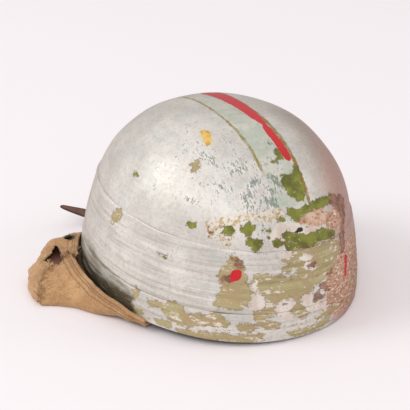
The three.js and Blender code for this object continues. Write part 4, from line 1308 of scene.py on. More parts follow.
class Mixer:
    """Adds nodes to a tree and joins them."""

    def __init__(self, tree):
        self.tree = tree
        self.nodes = tree.nodes
        self.link = tree.links.new

    def put(self, socket, value):
        if isinstance(value, bpy.types.NodeSocket):
            self.link(value, socket)
        else:
            socket.default_value = value

    def maths(self, operation, first, second=0.0, third=0.0):
        node = self.nodes.new("ShaderNodeMath")
        node.operation = operation
        for i, value in enumerate((first, second, third)):
            self.put(node.inputs[i], value)
        return node.outputs[0]

    def times(self, first, second):
        return self.maths("MULTIPLY", first, second)

    def plus(self, first, second):
        return self.maths("ADD", first, second)

    def minus(self, first, second):
        return self.maths("SUBTRACT", first, second)

    def most(self, first, second):
        return self.maths("MAXIMUM", first, second)

    def made(self, kind, settings=None, **given):
        """A new node with its settings, and with its named inputs set or joined."""
        node = self.nodes.new(kind)
        for key, value in (settings or {}).items():
            setattr(node, key, value)
        for key, value in given.items():
            self.put(node.inputs[key.replace("_", " ")], value)
        return node

    def between(self, value, low, high, smooth=True):
        node = self.nodes.new("ShaderNodeMapRange")
        node.interpolation_type = "SMOOTHSTEP" if smooth else "LINEAR"
        self.put(node.inputs["Value"], value)
        self.put(node.inputs["From Min"], low)
        self.put(node.inputs["From Max"], high)
        return node.outputs["Result"]

    def mix(self, share, first, second, blend="MIX"):
        node = self.nodes.new("ShaderNodeMix")
        node.data_type = "RGBA"
        node.blend_type = blend
        node.clamp_factor = True
        self.put(node.inputs[0], share)
        self.put(node.inputs[6], first)
        self.put(node.inputs[7], second)
        return node.outputs[2]

    def blend(self, share, first, second):
        node = self.nodes.new("ShaderNodeMix")
        node.data_type = "FLOAT"
        self.put(node.inputs[0], share)
        self.put(node.inputs[2], first)
        self.put(node.inputs[3], second)
        return node.outputs[0]

    def clouded(self, noise, low, high, first, second):
        """Two colours, mixed between two heights of a noise."""
        return self.mix(self.between(noise, low, high), first, second)

    def noise(self, vector, scale, detail=3.0, rough=0.55, distortion=0.0):
        node = self.nodes.new("ShaderNodeTexNoise")
        self.put(node.inputs["Vector"], vector)
        self.put(node.inputs["Scale"], scale)
        self.put(node.inputs["Detail"], detail)
        self.put(node.inputs["Roughness"], rough)
        self.put(node.inputs["Distortion"], distortion)
        return node.outputs["Fac"]

    def mapped(self, vector, scale, turn=0.0, move=(0, 0, 0)):
        node = self.nodes.new("ShaderNodeMapping")
        self.put(node.inputs["Vector"], vector)
        node.inputs["Scale"].default_value = scale
        node.inputs["Rotation"].default_value = (0, 0, turn)
        node.inputs["Location"].default_value = move
        return node.outputs["Vector"]

    def value_of(self, name):
        node = self.nodes.new("ShaderNodeAttribute")
        node.attribute_name = name
        return node.outputs["Fac"]

    def places(self):
        node = self.nodes.new("ShaderNodeTexCoord")
        return node.outputs["Object"], node.outputs["UV"]

    def spot(self):
        """The place in the helmet's own frame, and its three shares in metres."""
        node = self.nodes.new("ShaderNodeAttribute")
        node.attribute_name = "spot"
        shares = self.nodes.new("ShaderNodeSeparateXYZ")
        self.link(node.outputs["Vector"], shares.inputs[0])
        return node.outputs["Vector"], shares.outputs["X"], shares.outputs["Y"], shares.outputs["Z"]

    def grouped(self, group, **given):
        node = self.nodes.new("ShaderNodeGroup")
        node.node_tree = group
        for name, value in given.items():
            self.put(node.inputs[name], value)
        return node


# Stitches and threads by Geometry Nodes

def thread_path(name, points):
    mesh = bpy.data.meshes.new(name)
    place = (np.asarray(points, float) + MOVE) / 1000
    steps = np.linalg.norm(np.diff(place, axis=0), axis=1)
    mesh.from_pydata(place.tolist(), [(i, i + 1) for i in range(len(place) - 1) if steps[i] < 0.005], [])
    path = bpy.data.objects.new(name, mesh)
    bpy.context.scene.collection.objects.link(path)
    return path


def along_path(name, inputs, make_piece):
    """A tree that puts one made piece at even steps along a path."""
    tree = bpy.data.node_groups.new(name, "GeometryNodeTree")
    ends = [("Path", "NodeSocketGeometry", None), ("Finish", "NodeSocketMaterial", None)]
    for label, kind, value in ends[:1] + inputs + ends[1:]:
        socket = tree.interface.new_socket(label, in_out="INPUT", socket_type=kind)
        if value is not None:
            socket.default_value = value
    tree.interface.new_socket("Threads", in_out="OUTPUT", socket_type="NodeSocketGeometry")
    m = Mixer(tree)
    given = m.nodes.new("NodeGroupInput").outputs
    curve = m.made("GeometryNodeMeshToCurve", Mesh=given["Path"])
    spots = m.made(
        "GeometryNodeCurveToPoints", {"mode": "LENGTH"}, Curve=curve.outputs["Curve"], Length=given["Pitch"]
    )
    piece, scale, rotation = make_piece(m, given, spots)
    places = spots.outputs["Points"]
    put = m.made(
        "GeometryNodeInstanceOnPoints", Points=places, Instance=piece, Rotation=rotation, Scale=scale
    )
    real = m.made("GeometryNodeRealizeInstances", Geometry=put.outputs["Instances"])
    coat = m.made("GeometryNodeSetMaterial", Geometry=real.outputs["Geometry"], Material=given["Finish"])
    m.made("NodeGroupOutput", Threads=coat.outputs["Geometry"])
    return tree


def chance_number(m, low, high, seed):
    node = m.nodes.new("FunctionNodeRandomValue")
    node.inputs[2].default_value = low
    node.inputs[3].default_value = high
    m.put(node.inputs["Seed"], seed)
    return node.outputs[1]


def stitch_tree():
    """Short rounded stitches at even steps along a path."""
    def stitch(m, given, spots):
        bead = m.made("GeometryNodeMeshUVSphere", Segments=6, Rings=5, Radius=0.5)
        long = m.times(given["Length"], chance_number(m, 0.8, 1.12, 7))
        size = m.made("ShaderNodeCombineXYZ", X=given["Thickness"], Y=given["Thickness"], Z=long)
        return bead.outputs["Mesh"], size.outputs["Vector"], spots.outputs["Rotation"]

    inputs = [
        ("Pitch", "NodeSocketFloat", 0.0032),
        ("Length", "NodeSocketFloat", 0.0024),
        ("Thickness", "NodeSocketFloat", 0.0006),
    ]
    return along_path("stitch row", inputs, stitch)


def fray_tree():
    """Loose curled threads of chance length and lean, standing off a path."""
    def thread(m, given, _):
        curl = m.made(
            "GeometryNodeCurveQuadraticBezier", Resolution=5, Start=(0, 0, 0), Middle=(0.35, 0.1, 0.6),
            End=(0.1, 0.35, 1),
        )
        thick = m.maths("DIVIDE", given["Thickness"], given["Length"])
        ring = m.made("GeometryNodeCurvePrimitiveCircle", Resolution=4, Radius=thick)
        tube = m.made("GeometryNodeCurveToMesh", Curve=curl.outputs["Curve"], Fill_Caps=True)
        m.link(ring.outputs["Curve"], tube.inputs["Profile Curve"])
        lean = given["Lean"]
        back = m.times(lean, -1)
        turn = m.made("FunctionNodeRandomValue", {"data_type": "FLOAT_VECTOR"}, Seed=given["Seed"])
        m.link(m.made("ShaderNodeCombineXYZ", X=back, Y=back, Z=-3.1).outputs["Vector"], turn.inputs[0])
        m.link(m.made("ShaderNodeCombineXYZ", X=lean, Y=lean, Z=3.1).outputs["Vector"], turn.inputs[1])
        long = m.times(given["Length"], chance_number(m, 0.35, 1.15, given["Seed"]))
        return tube.outputs["Mesh"], long, turn.outputs[0]

    inputs = [
        ("Pitch", "NodeSocketFloat", 0.0009),
        ("Length", "NodeSocketFloat", 0.003),
        ("Thickness", "NodeSocketFloat", 0.00016),
        ("Lean", "NodeSocketFloat", 1.2),
        ("Seed", "NodeSocketInt", 3),
    ]
    return along_path("frayed threads", inputs, thread)


def grown(path, tree, **given):
    """Runs a tree on a path with its named inputs set, and leaves a plain mesh."""
    modifier = path.modifiers.new(tree.name, "NODES")
    modifier.node_group = tree
    for item in tree.interface.items_tree:
        if item.in_out == "INPUT" and item.name in given:
            modifier[item.identifier] = given[item.name]
    settled(path)
    path.data.polygons.foreach_set("use_smooth", [True] * len(path.data.polygons))
    return path


def along_panel(panel, down, lift):
    """A path along a panel at a distance below its free edge, just proud of the cloth."""
    line = []
    edge = panel.up[:, -1 - HEM_COLUMNS]
    for r in range(len(panel.grid)):
        downs = edge[r] - panel.up[r][::-1]
        at = np.interp(down, downs, np.arange(len(downs))[::-1])
        c = int(at)
        t = at - c
        d = min(c + 1, panel.grid.shape[1] - 1)
        spot = panel.grid[r, c] * (1 - t) + panel.grid[r, d] * t
        line.append(spot + panel.normal[r, c] * lift)
    return np.array(line)


def seam_line(ear, row):
    """A path down the seam's edge, apart from where the tear takes it away."""
    columns = slice(FACE_START - 4, -HEM_COLUMNS)
    line = ear.grid[row, columns] + ear.normal[row, columns] * 0.1
    return line[tear_field(ear)[row, columns] > 0]


def tear_line(ear, nape):
    """A path round the tear, on the cloth nearest to its outline."""
    faces = [panel.grid[:, FACE_START:-HEM_COLUMNS].reshape(-1, 3) for panel in (nape, ear)]
    skin = np.concatenate(faces)
    flat_skin = turned(skin - TEAR_SPOT, (0, 0, 1), TEAR_TURN)[:, :2]
    line = []
    for a, b in zip(TEAR_OUTLINE, TEAR_OUTLINE[1:] + TEAR_OUTLINE[:1]):
        for t in (0, 0.25, 0.5, 0.75):
            wanted = np.array(a) * (1 - t) * 1.04 + np.array(b) * t * 1.04
            nearest = np.argsort(np.linalg.norm(flat_skin - wanted, axis=1))[:6]
            line.append(skin[nearest].mean(0))
    return line + line[:1]


# Materials

def new_group(name, inputs, outputs):
    group = bpy.data.node_groups.new(name, "ShaderNodeTree")
    for label, kind, value in inputs:
        socket = group.interface.new_socket(label, in_out="INPUT", socket_type=kind)
        if value is not None:
            socket.default_value = value
    for label, kind in outputs:
        group.interface.new_socket(label, in_out="OUTPUT", socket_type=kind)
    mixer = Mixer(group)
    given = group.nodes.new("NodeGroupInput").outputs
    out = group.nodes.new("NodeGroupOutput").inputs
    return group, mixer, given, out


def flaked_group():
    """Turns a depth in millimetres into a patch with a ragged, chipped outline."""
    group, m, given, out = new_group(
        "flaked patch",
        [
            ("Place", "NodeSocketVector", None),
            ("Depth", "NodeSocketFloat", 0.0),
            ("Ragged", "NodeSocketFloat", 2.0),
            ("Fineness", "NodeSocketFloat", 240.0),
            ("Softness", "NodeSocketFloat", 0.2),
        ],
        [("Patch", "NodeSocketFloat"), ("Lip", "NodeSocketFloat")],
    )
    chips = m.noise(given["Place"], given["Fineness"], 7.0, 0.72)
    bays = m.noise(given["Place"], m.times(given["Fineness"], 0.3), 3.0, 0.6)
    chance = m.plus(m.times(chips, 0.65), m.times(bays, 0.35))
    swing = m.times(m.minus(chance, 0.5), m.times(given["Ragged"], 9.0))
    edge = m.plus(m.plus(given["Depth"], m.times(given["Ragged"], 0.25)), swing)
    low = m.times(given["Softness"], -1.0)
    m.link(m.between(edge, low, given["Softness"]), out["Patch"])
    m.link(m.between(m.maths("ABSOLUTE", edge), 0.8, 0.1), out["Lip"])
    return group


def wear_group():
    """Clouds, grain, wound streaks and fine scratches over a painted surface."""
    group, m, given, out = new_group(
        "worn surface",
        [("Place", "NodeSocketVector", None), ("Dense", "NodeSocketFloat", 0.3)],
        [
            ("Cloud", "NodeSocketFloat"),
            ("Grain", "NodeSocketFloat"),
            ("Streak", "NodeSocketFloat"),
            ("Scratch", "NodeSocketFloat"),
            ("Bruise", "NodeSocketFloat"),
        ],
    )
    place = given["Place"]
    m.link(m.noise(place, 26.0, 5.0, 0.62), out["Cloud"])
    m.link(m.noise(m.mapped(place, (330, 330, 420)), 1.0, 7.0, 0.78), out["Grain"])
    m.link(m.noise(m.mapped(place, (13, 13, 330)), 1.0, 7.0, 0.68), out["Streak"])
    patchy = m.noise(m.mapped(place, (1, 1, 1), 0, (2, 5, 1)), 75.0, 4.0, 0.6)
    thick = m.between(patchy, 0.36, 0.66)
    reach = m.times(given["Dense"], m.maths("MULTIPLY_ADD", thick, 1.25, 0.25))
    limit = m.maths("MULTIPLY_ADD", reach, -0.105, 0.672)
    shares = m.nodes.new("ShaderNodeSeparateXYZ")
    m.link(place, shares.inputs[0])
    on_side = m.between(shares.outputs["X"], -0.06, -0.085)
    front = m.noise(m.mapped(place, (820, 230, 280), 0.25), 1.0, 6.0, 0.72, 0.6)
    side = m.noise(m.mapped(place, (230, 820, 230), 0.2), 1.0, 6.0, 0.72, 0.6)
    strokes = m.blend(on_side, front, side)
    m.link(m.between(m.minus(strokes, limit), 0.0, 0.035), out["Scratch"])
    shown = m.times(thick, m.minus(given["Dense"], 0.3))
    m.link(m.most(m.times(shown, 0.8), 0.0), out["Bruise"])
    return group


def new_material(name):
    material = bpy.data.materials.new(name)
    material.use_nodes = True
    material.node_tree.nodes.clear()
    mixer = Mixer(material.node_tree)
    out = mixer.nodes.new("ShaderNodeOutputMaterial")
    shader = mixer.nodes.new("ShaderNodeBsdfPrincipled")
    mixer.link(shader.outputs[0], out.inputs["Surface"])
    return material, mixer, shader


def relief(m, shader, height, distance, strength):
    bump = m.nodes.new("ShaderNodeBump")
    bump.inputs["Distance"].default_value = distance
    bump.inputs["Strength"].default_value = strength
    m.put(bump.inputs["Height"], height)
    m.link(bump.outputs["Normal"], shader.inputs["Normal"])


def paint_layers_group(flaked, wear):
    """Silver paint over mint, olive and khaki, chipped as the charts say."""
    group, m, given, out = new_group(
        "paint layers",
        [("Streaked", "NodeSocketFloat", 0.5), ("Flaking", "NodeSocketFloat", 0.6)],
        [
            ("Colour", "NodeSocketColor"),
            ("Rough", "NodeSocketFloat"),
            ("Metal", "NodeSocketFloat"),
            ("Height", "NodeSocketFloat"),
        ],
    )
    streaked = given["Streaked"]
    flaking = given["Flaking"]
    place, across, along, level = m.spot()
    banding = m.nodes.new("ShaderNodeCombineXYZ")
    banding.inputs["X"].default_value = 1
    banding.inputs["Y"].default_value = 1
    m.link(m.maths("MULTIPLY_ADD", streaked, 2.0, 1.0), banding.inputs["Z"])
    squeezed = m.nodes.new("ShaderNodeVectorMath")
    squeezed.operation = "MULTIPLY"
    m.link(place, squeezed.inputs[0])
    m.link(banding.outputs[0], squeezed.inputs[1])
    banded = squeezed.outputs[0]

    def patch(kind, ragged, fineness=240.0, softness=0.2):
        node = m.grouped(
            flaked, Place=banded, Depth=m.value_of(kind), Ragged=ragged, Fineness=fineness, Softness=softness
        )
        return node.outputs["Patch"], node.outputs["Lip"]

    def flecks(scale, limit, move, stretch=(1, 1, 1)):
        moved = m.mapped(place, tuple(scale * share for share in stretch), 0, move)
        return m.between(m.minus(m.noise(moved, 1.0, 6.0, 0.72), limit), 0.0, 0.03)

    worn = m.grouped(wear, Place=place, Dense=m.value_of("scratched")).outputs

    # silver with cooler and warmer clouds, grain and brushed streaks
    silver = m.clouded(worn["Cloud"], 0.32, 0.68, tone(201, 196, 188), tone(224, 219, 211))
    silver = m.mix(m.times(m.between(worn["Grain"], 0.5, 0.66), 0.5), silver, tone(166, 160, 144))
    silver = m.mix(m.times(m.between(worn["Grain"], 0.48, 0.32), 0.4), silver, tone(234, 231, 226))
    cool = m.between(m.noise(place, 60.0, 5.0, 0.65), 0.5, 0.66)
    silver = m.mix(m.times(cool, 0.3), silver, tone(178, 190, 186))
    streak = m.between(worn["Streak"], 0.48, 0.68)
    silver = m.mix(m.times(streak, streaked), silver, tone(160, 150, 132))
    pale_streak = m.between(worn["Streak"], 0.46, 0.34)
    silver = m.mix(m.times(pale_streak, streaked), silver, tone(236, 231, 225))
    silver = m.mix(worn["Bruise"], silver, tone(233, 230, 224))
    # greyer, pinker silver at the front left: pinker paint, with painted shade where it faces away from the
    # light
    turned_away = m.times(m.between(across, 0.02, 0.06), m.between(along, 0.04, -0.02))
    lower = m.between(level, 0.152, 0.118)
    pinker_and_shaded = m.mix(lower, tone(170, 156, 140), tone(180, 132, 116))
    pinker_and_shaded = m.mix(m.times(m.between(worn["Grain"], 0.52, 0.64), 0.7), pinker_and_shaded, tone(146, 108, 88))
    silver = m.mix(m.times(turned_away, 0.82), silver, pinker_and_shaded)

    # a greener undercoat between the two gold lines
    off_middle = m.maths("ABSOLUTE", across)
    high_up = m.between(level, 0.106, 0.114)
    zone = m.times(m.between(off_middle, 0.0175, 0.0155), high_up)
    mint = m.clouded(m.noise(place, 70.0, 5.0, 0.65), 0.38, 0.62, tone(176, 190, 170), tone(212, 208, 196))
    colour = m.mix(m.times(zone, 0.65), silver, mint)
    scratch_colour = m.clouded(m.noise(place, 40.0, 3.0), 0.42, 0.6, tone(96, 118, 78), tone(92, 104, 106))
    colour = m.mix(m.times(worn["Scratch"], 0.75), colour, scratch_colour)
    colour = m.mix(m.times(flecks(330.0, 0.685, (6, 6, 6)), 0.8), colour, tone(104, 86, 64))

    # the thin gold lines, worn through in places
    line_off = m.maths("ABSOLUTE", m.minus(off_middle, 0.0168))
    wobble = m.times(m.minus(m.noise(place, 300.0, 4.0), 0.5), 0.004)
    is_right = m.between(across, -0.001, 0.001)
    wide = m.maths("MULTIPLY_ADD", is_right, 0.0008, 0.0016)
    line = m.between(m.plus(line_off, wobble), wide, m.times(wide, 0.6))
    ends = m.most(m.between(along, -0.094, -0.08), is_right)
    line = m.times(m.times(line, ends), high_up)
    kept = m.between(m.noise(place, 130.0, 5.0, 0.65), 0.4, 0.52)
    line = m.times(line, m.maths("MULTIPLY_ADD", kept, 0.35, 0.65))
    colour = m.mix(line, colour, m.mix(is_right, tone(158, 142, 84), tone(150, 118, 58)))

    # bared khaki with the flakes that still hold on it
    rosy, _ = patch("rosy", 2.4, 170.0, 0.6)
    rosy_colour = m.clouded(worn["Cloud"], 0.4, 0.6, tone(208, 162, 142), tone(188, 138, 112))
    rosy_colour = m.mix(flecks(200.0, 0.5, (7, 1, 2), (1, 1, 3)), rosy_colour, tone(154, 100, 72))
    rosy_colour = m.mix(flecks(220.0, 0.53, (1, 9, 2), (1, 1, 2.4)), rosy_colour, tone(176, 146, 98))
    rosy_colour = m.mix(flecks(240.0, 0.55, (4, 4, 9), (1, 1, 2)), rosy_colour, tone(236, 210, 196))
    colour = m.mix(m.times(rosy, 0.92), colour, rosy_colour)
    khaki, khaki_lip = patch("khaki", 2.4, 200.0)
    khaki_colour = m.clouded(worn["Streak"], 0.36, 0.66, tone(184, 172, 128), tone(156, 142, 98))
    khaki_colour = m.clouded(m.noise(place, 45.0, 4.0), 0.42, 0.62, khaki_colour, tone(172, 150, 112))
    khaki_colour = m.mix(flecks(420.0, 0.62, (5, 2, 2), (1, 1, 2)), khaki_colour, tone(118, 100, 64))
    colour = m.mix(khaki, colour, khaki_colour)
    held = m.times(flecks(85.0, flaking, (3, 3, 3), (1, 1, 2.6)), khaki)
    colour = m.mix(held, colour, tone(222, 210, 198))
    lost = flecks(130.0, m.plus(flaking, 0.055), (9, 6, 3), (1, 1, 2.4))
    colour = m.mix(m.times(lost, m.between(level, 0.075, 0.02)), colour, tone(176, 162, 118))

    cream, _ = patch("cream", 2.4, 160.0)
    cream_colour = m.clouded(m.noise(place, 90.0, 5.0), 0.4, 0.6, tone(228, 219, 208), tone(216, 198, 186))
    colour = m.mix(cream, colour, cream_colour)
    peach, _ = patch("peach", 1.5, 200.0, 0.5)
    mottle = m.noise(place, 150.0, 5.0, 0.7)
    peach_colour = m.clouded(mottle, 0.42, 0.6, tone(218, 188, 168), tone(202, 158, 126))
    peach_colour = m.mix(flecks(300.0, 0.55, (2, 2, 8)), peach_colour, tone(152, 108, 74))
    colour = m.mix(peach, colour, peach_colour)
    ochre, _ = patch("ochre", 1.6, 240.0, 0.4)
    ochre_colour = m.mix(flecks(260.0, 0.52, (6, 2, 1)), tone(222, 214, 200), tone(192, 164, 112))
    ochre_colour = m.mix(flecks(330.0, 0.57, (3, 1, 2)), ochre_colour, tone(124, 96, 56))
    colour = m.mix(m.times(ochre, 0.85), colour, ochre_colour)
    # a dark stain behind the curtain with painted shade where the curtain overhangs it, darker and denser
    # towards the rim
    soot_and_shade, _ = patch("soot_and_shade", 1.6, 90.0, 2.6)
    smear = m.between(m.noise(m.mapped(place, (40, 40, 260)), 1.0, 5.0, 0.65), 0.36, 0.62)
    shade_low_down = m.between(level, 0.026, 0.012)
    soot_and_shade_colour = m.mix(shade_low_down, tone(110, 98, 76), tone(66, 58, 36))
    smeared = m.maths("MULTIPLY_ADD", smear, 0.45, m.maths("MULTIPLY_ADD", shade_low_down, 0.42, 0.34))
    colour = m.mix(m.times(soot_and_shade, smeared), colour, soot_and_shade_colour)
    olive, olive_lip = patch("olive", 1.9, 230.0)
    olive_colour = m.clouded(m.noise(place, 90.0, 5.0), 0.38, 0.64, tone(130, 134, 50), tone(96, 98, 36))
    olive_colour = m.mix(flecks(380.0, 0.6, (8, 2, 5)), olive_colour, tone(176, 170, 104))
    colour = m.mix(olive, colour, olive_colour)
    brown, brown_lip = patch("brown", 3.0, 190.0, 0.5)
    brown_colour = m.clouded(m.noise(place, 180.0, 5.0, 0.7), 0.4, 0.6, tone(160, 112, 86), tone(106, 68, 48))
    colour = m.mix(m.times(brown, 0.86), colour, brown_colour)
    # brown grime along the chipped edges, and specks of it low at the front
    grime = m.times(m.most(khaki_lip, olive_lip), flecks(240.0, 0.46, (2, 7, 4)))
    low_front = m.times(m.between(across, -0.05, 0.0), m.between(level, 0.108, 0.09))
    low_front = m.times(low_front, m.between(along, 0.0, -0.05))
    specks = m.times(low_front, flecks(260.0, 0.6, (1, 4, 7)))
    grime = m.most(m.times(grime, 0.6), m.times(specks, 0.65))
    colour = m.mix(grime, colour, tone(122, 82, 54))
    gold, gold_lip = patch("gold", 0.7, 260.0)
    chip = m.clouded(m.noise(place, 150.0, 4.0), 0.42, 0.6, tone(238, 200, 112), tone(206, 154, 66))
    colour = m.mix(gold, colour, chip)
    red, _ = patch("red", 0.45, 300.0, 0.15)
    colour = m.mix(red, colour, m.mix(m.noise(place, 110.0, 4.0), tone(186, 14, 24), tone(212, 34, 40)))
    dark, _ = patch("dark", 0.4, 300.0)
    colour = m.mix(dark, colour, tone(44, 34, 28))
    m.link(colour, out["Colour"])

    bare = m.most(m.most(khaki, olive), m.most(brown, dark))
    bare = m.most(bare, m.times(m.most(rosy, soot_and_shade), 0.7))
    rough = m.maths("MULTIPLY_ADD", worn["Cloud"], 0.1, 0.36)
    rough = m.plus(rough, m.times(worn["Grain"], 0.12))
    m.link(m.blend(bare, rough, 0.74), out["Rough"])
    m.link(m.blend(m.most(bare, red), 0.3, 0.0), out["Metal"])

    lowered = m.times(bare, -0.5)
    lowered = m.minus(lowered, m.times(m.most(gold, brown), 0.4))
    lowered = m.plus(lowered, m.times(m.most(cream, held), 0.3))
    lips = m.most(m.most(khaki_lip, olive_lip), m.most(gold_lip, brown_lip))
    lowered = m.plus(lowered, m.times(lips, 0.2))
    lowered = m.plus(lowered, m.times(red, 0.25))
    wound = m.times(worn["Streak"], streaked)
    lowered = m.maths("MULTIPLY_ADD", wound, 0.9, lowered)
    lowered = m.minus(lowered, m.times(worn["Scratch"], 0.25))
    m.link(m.maths("MULTIPLY_ADD", worn["Grain"], 0.35, lowered), out["Height"])
    return group


def silver_paint(name, layers, streaked, flaking):
    """The layers on one part of the helmet. Silver looks darker where it is seen at a slant."""
    material, m, shader = new_material(name)
    layer = m.grouped(layers, Streaked=streaked, Flaking=flaking).outputs
    slant = m.nodes.new("ShaderNodeLayerWeight")
    slant.inputs["Blend"].default_value = 0.5
    shaded = m.times(m.between(slant.outputs["Facing"], 0.42, 0.92), 0.42)
    darker = m.mix(1.0, layer["Colour"], tone(176, 162, 156), "MULTIPLY")
    m.link(m.mix(shaded, layer["Colour"], darker), shader.inputs["Base Color"])
    m.link(layer["Rough"], shader.inputs["Roughness"])
    m.link(layer["Metal"], shader.inputs["Metallic"])
    relief(m, shader, layer["Height"], 0.0005, 0.6)
    return material


def bare_pulp():
    """The shell's inner face: moulded pulp, brown and fibrous, darkened by wear."""
    material, m, shader = new_material("bare pulp")
    place, _ = m.places()
    clouds = m.noise(place, 30.0, 5.0, 0.6)
    colour = m.clouded(clouds, 0.3, 0.7, tone(112, 88, 64), tone(140, 114, 84))
    fibres = m.noise(m.mapped(place, (900, 220, 500), 0.6), 1.0, 4.0, 0.7)
    colour = m.clouded(fibres, 0.52, 0.66, colour, tone(168, 142, 108))
    colour = m.clouded(m.noise(place, 9.0, 3.0), 0.5, 0.75, colour, tone(78, 60, 44))
    m.link(colour, shader.inputs["Base Color"])
    m.link(m.maths("MULTIPLY_ADD", clouds, 0.15, 0.78), shader.inputs["Roughness"])
    relief(m, shader, m.plus(fibres, m.times(clouds, 2.0)), 0.0006, 0.5)
    return material


def canvas_cloth():
    """Tan cotton canvas, soiled along the hem, with painted shade in its folds and stitch grooves, and paler
    where it is frayed.
    """
    material, m, shader = new_material("canvas")
    place, sheet = m.places()
    threads = m.nodes.new("ShaderNodeSeparateXYZ")
    m.link(sheet, threads.inputs[0])
    turns = math.pi / 0.0011
    warp = m.maths("SINE", m.times(threads.outputs["X"], turns))
    weft = m.maths("SINE", m.times(threads.outputs["Y"], turns))
    woven = m.maths("MULTIPLY_ADD", m.times(warp, weft), 0.5, 0.5)
    long_threads = m.noise(m.mapped(sheet, (1300, 60, 1)), 1.0, 2.0)
    uneven = m.plus(long_threads, m.noise(m.mapped(sheet, (60, 1300, 1)), 1.0, 2.0))
    clouds = m.noise(place, 34.0, 5.0, 0.62)
    blotch = m.noise(place, 110.0, 4.0, 0.6)
    colour = m.clouded(clouds, 0.36, 0.64, tone(202, 158, 110), tone(178, 134, 88))
    colour = m.mix(m.times(m.between(blotch, 0.48, 0.64), 0.5), colour, tone(158, 116, 74))
    slubs = m.noise(place, 560.0, 5.0, 0.75)
    colour = m.mix(m.times(m.between(slubs, 0.5, 0.64), 0.45), colour, tone(222, 184, 140))
    colour = m.mix(m.times(m.between(slubs, 0.48, 0.36), 0.42), colour, tone(146, 106, 68))
    gaps = m.between(woven, 0.4, 0.05)
    colour = m.mix(m.times(gaps, 0.3), colour, tone(142, 106, 70))
    # soil and painted shade, from the cloth's values
    dirt_and_shade = m.times(m.value_of("dirt_and_shade"), m.between(blotch, 0.2, 0.55))
    colour = m.mix(m.times(dirt_and_shade, 0.75), colour, tone(132, 98, 62))
    fray = m.times(m.value_of("fray"), m.between(m.noise(place, 420.0, 3.0), 0.4, 0.6))
    colour = m.mix(m.times(fray, 0.6), colour, tone(222, 192, 152))
    m.link(colour, shader.inputs["Base Color"])
    shader.inputs["Roughness"].default_value = 0.9
    shader.inputs["Sheen Weight"].default_value = 0.25
    shader.inputs["Sheen Roughness"].default_value = 0.5
    height = m.maths("MULTIPLY_ADD", woven, 0.5, m.times(blotch, 1.2))
    relief(m, shader, m.maths("MULTIPLY_ADD", uneven, 0.25, height), 0.0005, 0.8)
    return material


def strap_leather():
    """Brown leather with a fine pebble, paler on its worn face and dark at its cut edges."""
    material, m, shader = new_material("strap leather")
    place, sheet = m.places()
    cells = m.nodes.new("ShaderNodeTexVoronoi")
    cells.inputs["Scale"].default_value = 1500.0
    m.link(place, cells.inputs["Vector"])
    pebble = cells.outputs["Distance"]
    clouds = m.noise(place, 60.0, 4.0, 0.6)
    colour = m.clouded(clouds, 0.3, 0.7, tone(128, 84, 68), tone(100, 64, 50))
    scuffs = m.noise(m.mapped(sheet, (90, 600, 1)), 1.0, 4.0, 0.65)
    colour = m.mix(m.times(m.between(scuffs, 0.52, 0.7), 0.5), colour, tone(142, 108, 92))
    edge = m.between(m.value_of("from_edge"), 1.3, 0.3)
    colour = m.mix(m.times(edge, 0.7), colour, tone(62, 40, 33))
    m.link(colour, shader.inputs["Base Color"])
    m.link(m.maths("MULTIPLY_ADD", clouds, 0.2, 0.42), shader.inputs["Roughness"])
    height = m.plus(m.times(pebble, 0.8), m.times(scuffs, 0.8))
    relief(m, shader, height, 0.0003, 0.5)
    return material


def darkened_metal():
    """Brass gone dark, with patches of green and of brighter bare metal."""
    material, m, shader = new_material("darkened metal")
    place, _ = m.places()
    clouds = m.noise(place, 260.0, 4.0, 0.6)
    colour = m.clouded(clouds, 0.35, 0.65, tone(104, 94, 72), tone(66, 64, 54))
    bright = m.between(m.noise(place, 700.0, 3.0), 0.6, 0.72)
    colour = m.mix(m.times(bright, 0.6), colour, tone(150, 136, 96))
    colour = m.clouded(m.noise(place, 420.0, 3.0), 0.62, 0.74, colour, tone(92, 118, 100))
    m.link(colour, shader.inputs["Base Color"])
    shader.inputs["Metallic"].default_value = 0.75
    m.link(m.maths("MULTIPLY_ADD", clouds, 0.35, 0.28), shader.inputs["Roughness"])
    relief(m, shader, clouds, 0.0002, 0.4)
    return material


def cotton_thread(name, light, dark):
    material, m, shader = new_material(name)
    place, _ = m.places()
    colour = m.clouded(m.noise(place, 900.0, 3.0), 0.35, 0.65, dark, light)
    m.link(colour, shader.inputs["Base Color"])
    shader.inputs["Roughness"].default_value = 0.85
    relief(m, shader, m.noise(place, 3500.0, 2.0), 0.0001, 0.5)
    return material


def pale_floor():
    material, m, shader = new_material("pale floor")
    place, _ = m.places()
    colour = m.mix(m.noise(place, 0.8, 2.0), tone(246, 241, 243), tone(248, 243, 245))
    m.link(colour, shader.inputs["Base Color"])
    shader.inputs["Roughness"].default_value = 0.9
    shader.inputs["Specular IOR Level"].default_value = 0.1
    return material


# Putting the scene together

place_camera()

world = bpy.data.worlds.new("studio")
bpy.context.scene.world = world
world.use_nodes = True
backdrop = world.node_tree.nodes["Background"]
backdrop.inputs["Color"].default_value = (1.0, 0.985, 0.99, 1)
backdrop.inputs["Strength"].default_value = 0.72
soft_light("key_light", (-4.0, 1.4, 3.5), 2.9, 90, (1.0, 0.99, 0.98))
soft_light("front_light", (-2.4, -3.4, 3.7), 1.8, 53, (1.0, 0.99, 0.99))
soft_light("right_light", (4.4, -2.4, 3.0), 2.4, 22, (1.0, 0.95, 0.93))
bpy.context.scene.view_settings.view_transform = "Standard"
bpy.context.scene.view_settings.look = "None"

floor_mesh = bpy.data.meshes.new("floor")
floor_corners = [(x * FLOOR_HALF, y * FLOOR_HALF, 0) for x, y in ((-1, -1), (1, -1), (1, 1), (-1, 1))]
floor_mesh.from_pydata(floor_corners, [], [(0, 1, 2, 3)])
floor = bpy.data.objects.new("floor", floor_mesh)
bpy.context.scene.collection.objects.link(floor)
floor_mesh.materials.append(pale_floor())

